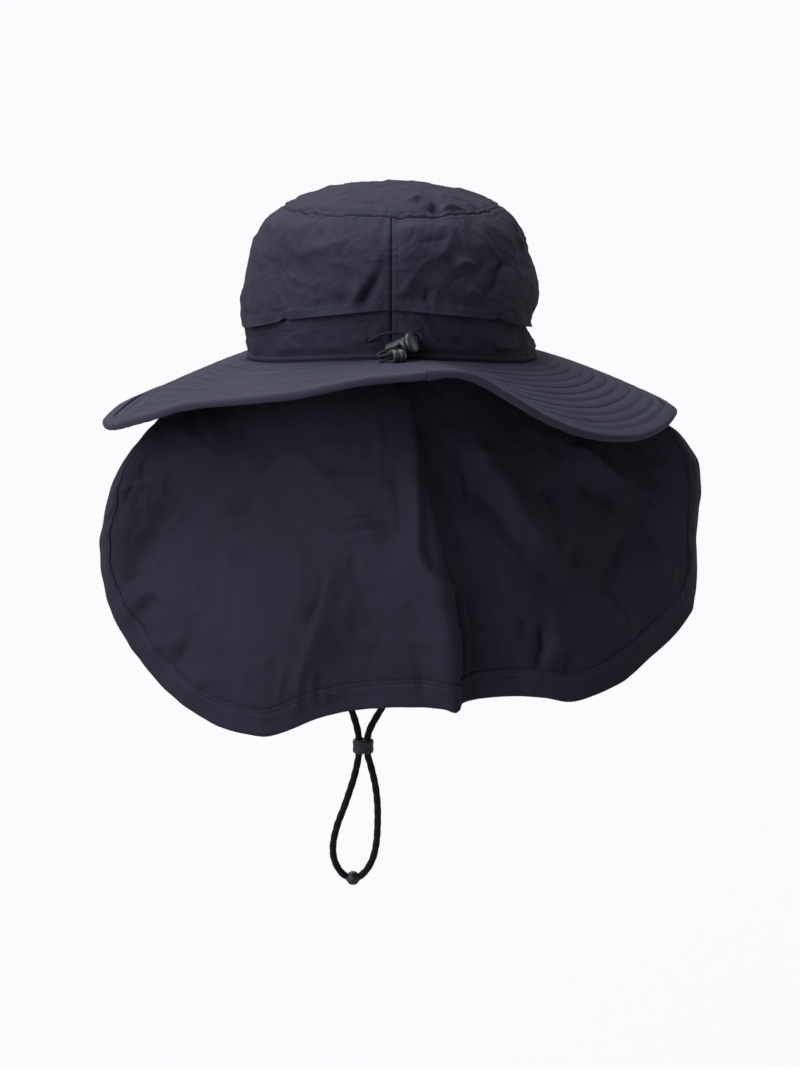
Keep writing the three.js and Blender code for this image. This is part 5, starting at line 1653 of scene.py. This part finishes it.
class CAP_OT_cord_lock(bpy.types.Operator):
    """The spring cord lock's barrel and button, and the cord end"""
    bl_idname = "cap.cord_lock"
    bl_label = "Cord lock"

    def execute(self, context):
        lock_barrel()
        lock_button()
        cord_end()
        return {"FINISHED"}


class CAP_OT_eyelets(bpy.types.Operator):
    """The two worked eyelets that the drawcord leaves the band by"""
    bl_idname = "cap.eyelets"
    bl_label = "Eyelets"

    def execute(self, context):
        eyelet("left")
        eyelet("right")
        return {"FINISHED"}


class CAP_OT_crown_tip(bpy.types.Operator):
    """The crown's tip and its stitching"""
    bl_idname = "cap.crown_tip"
    bl_label = "Crown tip"

    def execute(self, context):
        sew("crown_tip_stitching", crown_tip()[1])
        return {"FINISHED"}


class CAP_OT_crown_panels(bpy.types.Operator):
    """The crown's two upper panels, their stitching and the cloth turned in behind their seams"""
    bl_idname = "cap.crown_panels"
    bl_label = "Crown panels"

    def execute(self, context):
        for sign, side in [(1, "right"), (-1, "left")]:
            sew(f"crown_panel_{side}_stitching", side_panel(sign)[1])
        seam_tape(0.0, "back_seam_tape")
        seam_tape(180.0, "front_seam_tape")
        return {"FINISHED"}


class CAP_OT_lower_band(bpy.types.Operator):
    """The crown's lower band with its rolled lip, and the sweatband inside it"""
    bl_idname = "cap.lower_band"
    bl_label = "Lower band"

    def execute(self, context):
        for sign, side in [(1, "right"), (-1, "left")]:
            sew(f"lower_band_{side}_stitching", band(sign, *EYELETS[side])[1])
        sew("sweatband_stitching", sweatband()[1])
        return {"FINISHED"}


class CAP_OT_brim(bpy.types.Operator):
    """The quilted brim, its rings of stitching and its binding"""
    bl_idname = "cap.brim"
    bl_label = "Brim"

    def execute(self, context):
        upper, lower = brim()[1:]
        sew("brim_upper_stitching", upper, lift=0.25)
        sew("brim_lower_stitching", lower)
        sew("binding_stitching", binding()[1])
        return {"FINISHED"}


class CAP_OT_neck_flap(bpy.types.Operator):
    """The neck flap with its turned hem"""
    bl_idname = "cap.neck_flap"
    bl_label = "Neck flap"

    def execute(self, context):
        piece, rows, area = neck_flap()
        sewn = sew("neck_flap_stitching", rows)
        return {"FINISHED"}


class CAP_PT_sidebar(bpy.types.Panel):
    """Sidebar panel with the cap's settings and its build steps"""
    bl_idname = "CAP_PT_sidebar"
    bl_label = "Legionnaire Cap"
    bl_space_type = "VIEW_3D"
    bl_region_type = "UI"
    bl_category = "Cap"

    def draw(self, context):
        for name in SETTINGS:
            settings = getattr(context.scene, name)
            box = self.layout.box()
            for field in settings.__annotations__:
                box.prop(settings, field)
        for operator in OPERATORS:
            self.layout.operator(operator.bl_idname)


SETTINGS = {
    "cap_colours": CapColours,
    "cap_stitching": CapStitching,
    "cap_cloth": CapCloth,
    "cap_cords": CapCords,
    "cap_stage": CapStage,
}
OPERATORS = [
    CAP_OT_stage, CAP_OT_chin_cord, CAP_OT_drawcords, CAP_OT_cord_lock, CAP_OT_eyelets, CAP_OT_crown_tip,
    CAP_OT_crown_panels, CAP_OT_lower_band, CAP_OT_brim, CAP_OT_neck_flap,
]


def register():
    for kind in [*SETTINGS.values(), *OPERATORS, CAP_PT_sidebar]:
        bpy.utils.register_class(kind)
    for name, kind in SETTINGS.items():
        setattr(bpy.types.Scene, name, PointerProperty(type=kind))


def unregister():
    for name in SETTINGS:
        delattr(bpy.types.Scene, name)
    for kind in reversed([*SETTINGS.values(), *OPERATORS, CAP_PT_sidebar]):
        bpy.utils.unregister_class(kind)


def main():
    register()
    for operator in OPERATORS:
        group, name = operator.bl_idname.split(".")
        getattr(getattr(bpy.ops, group), name)()


if __name__ == "__main__":
    main()
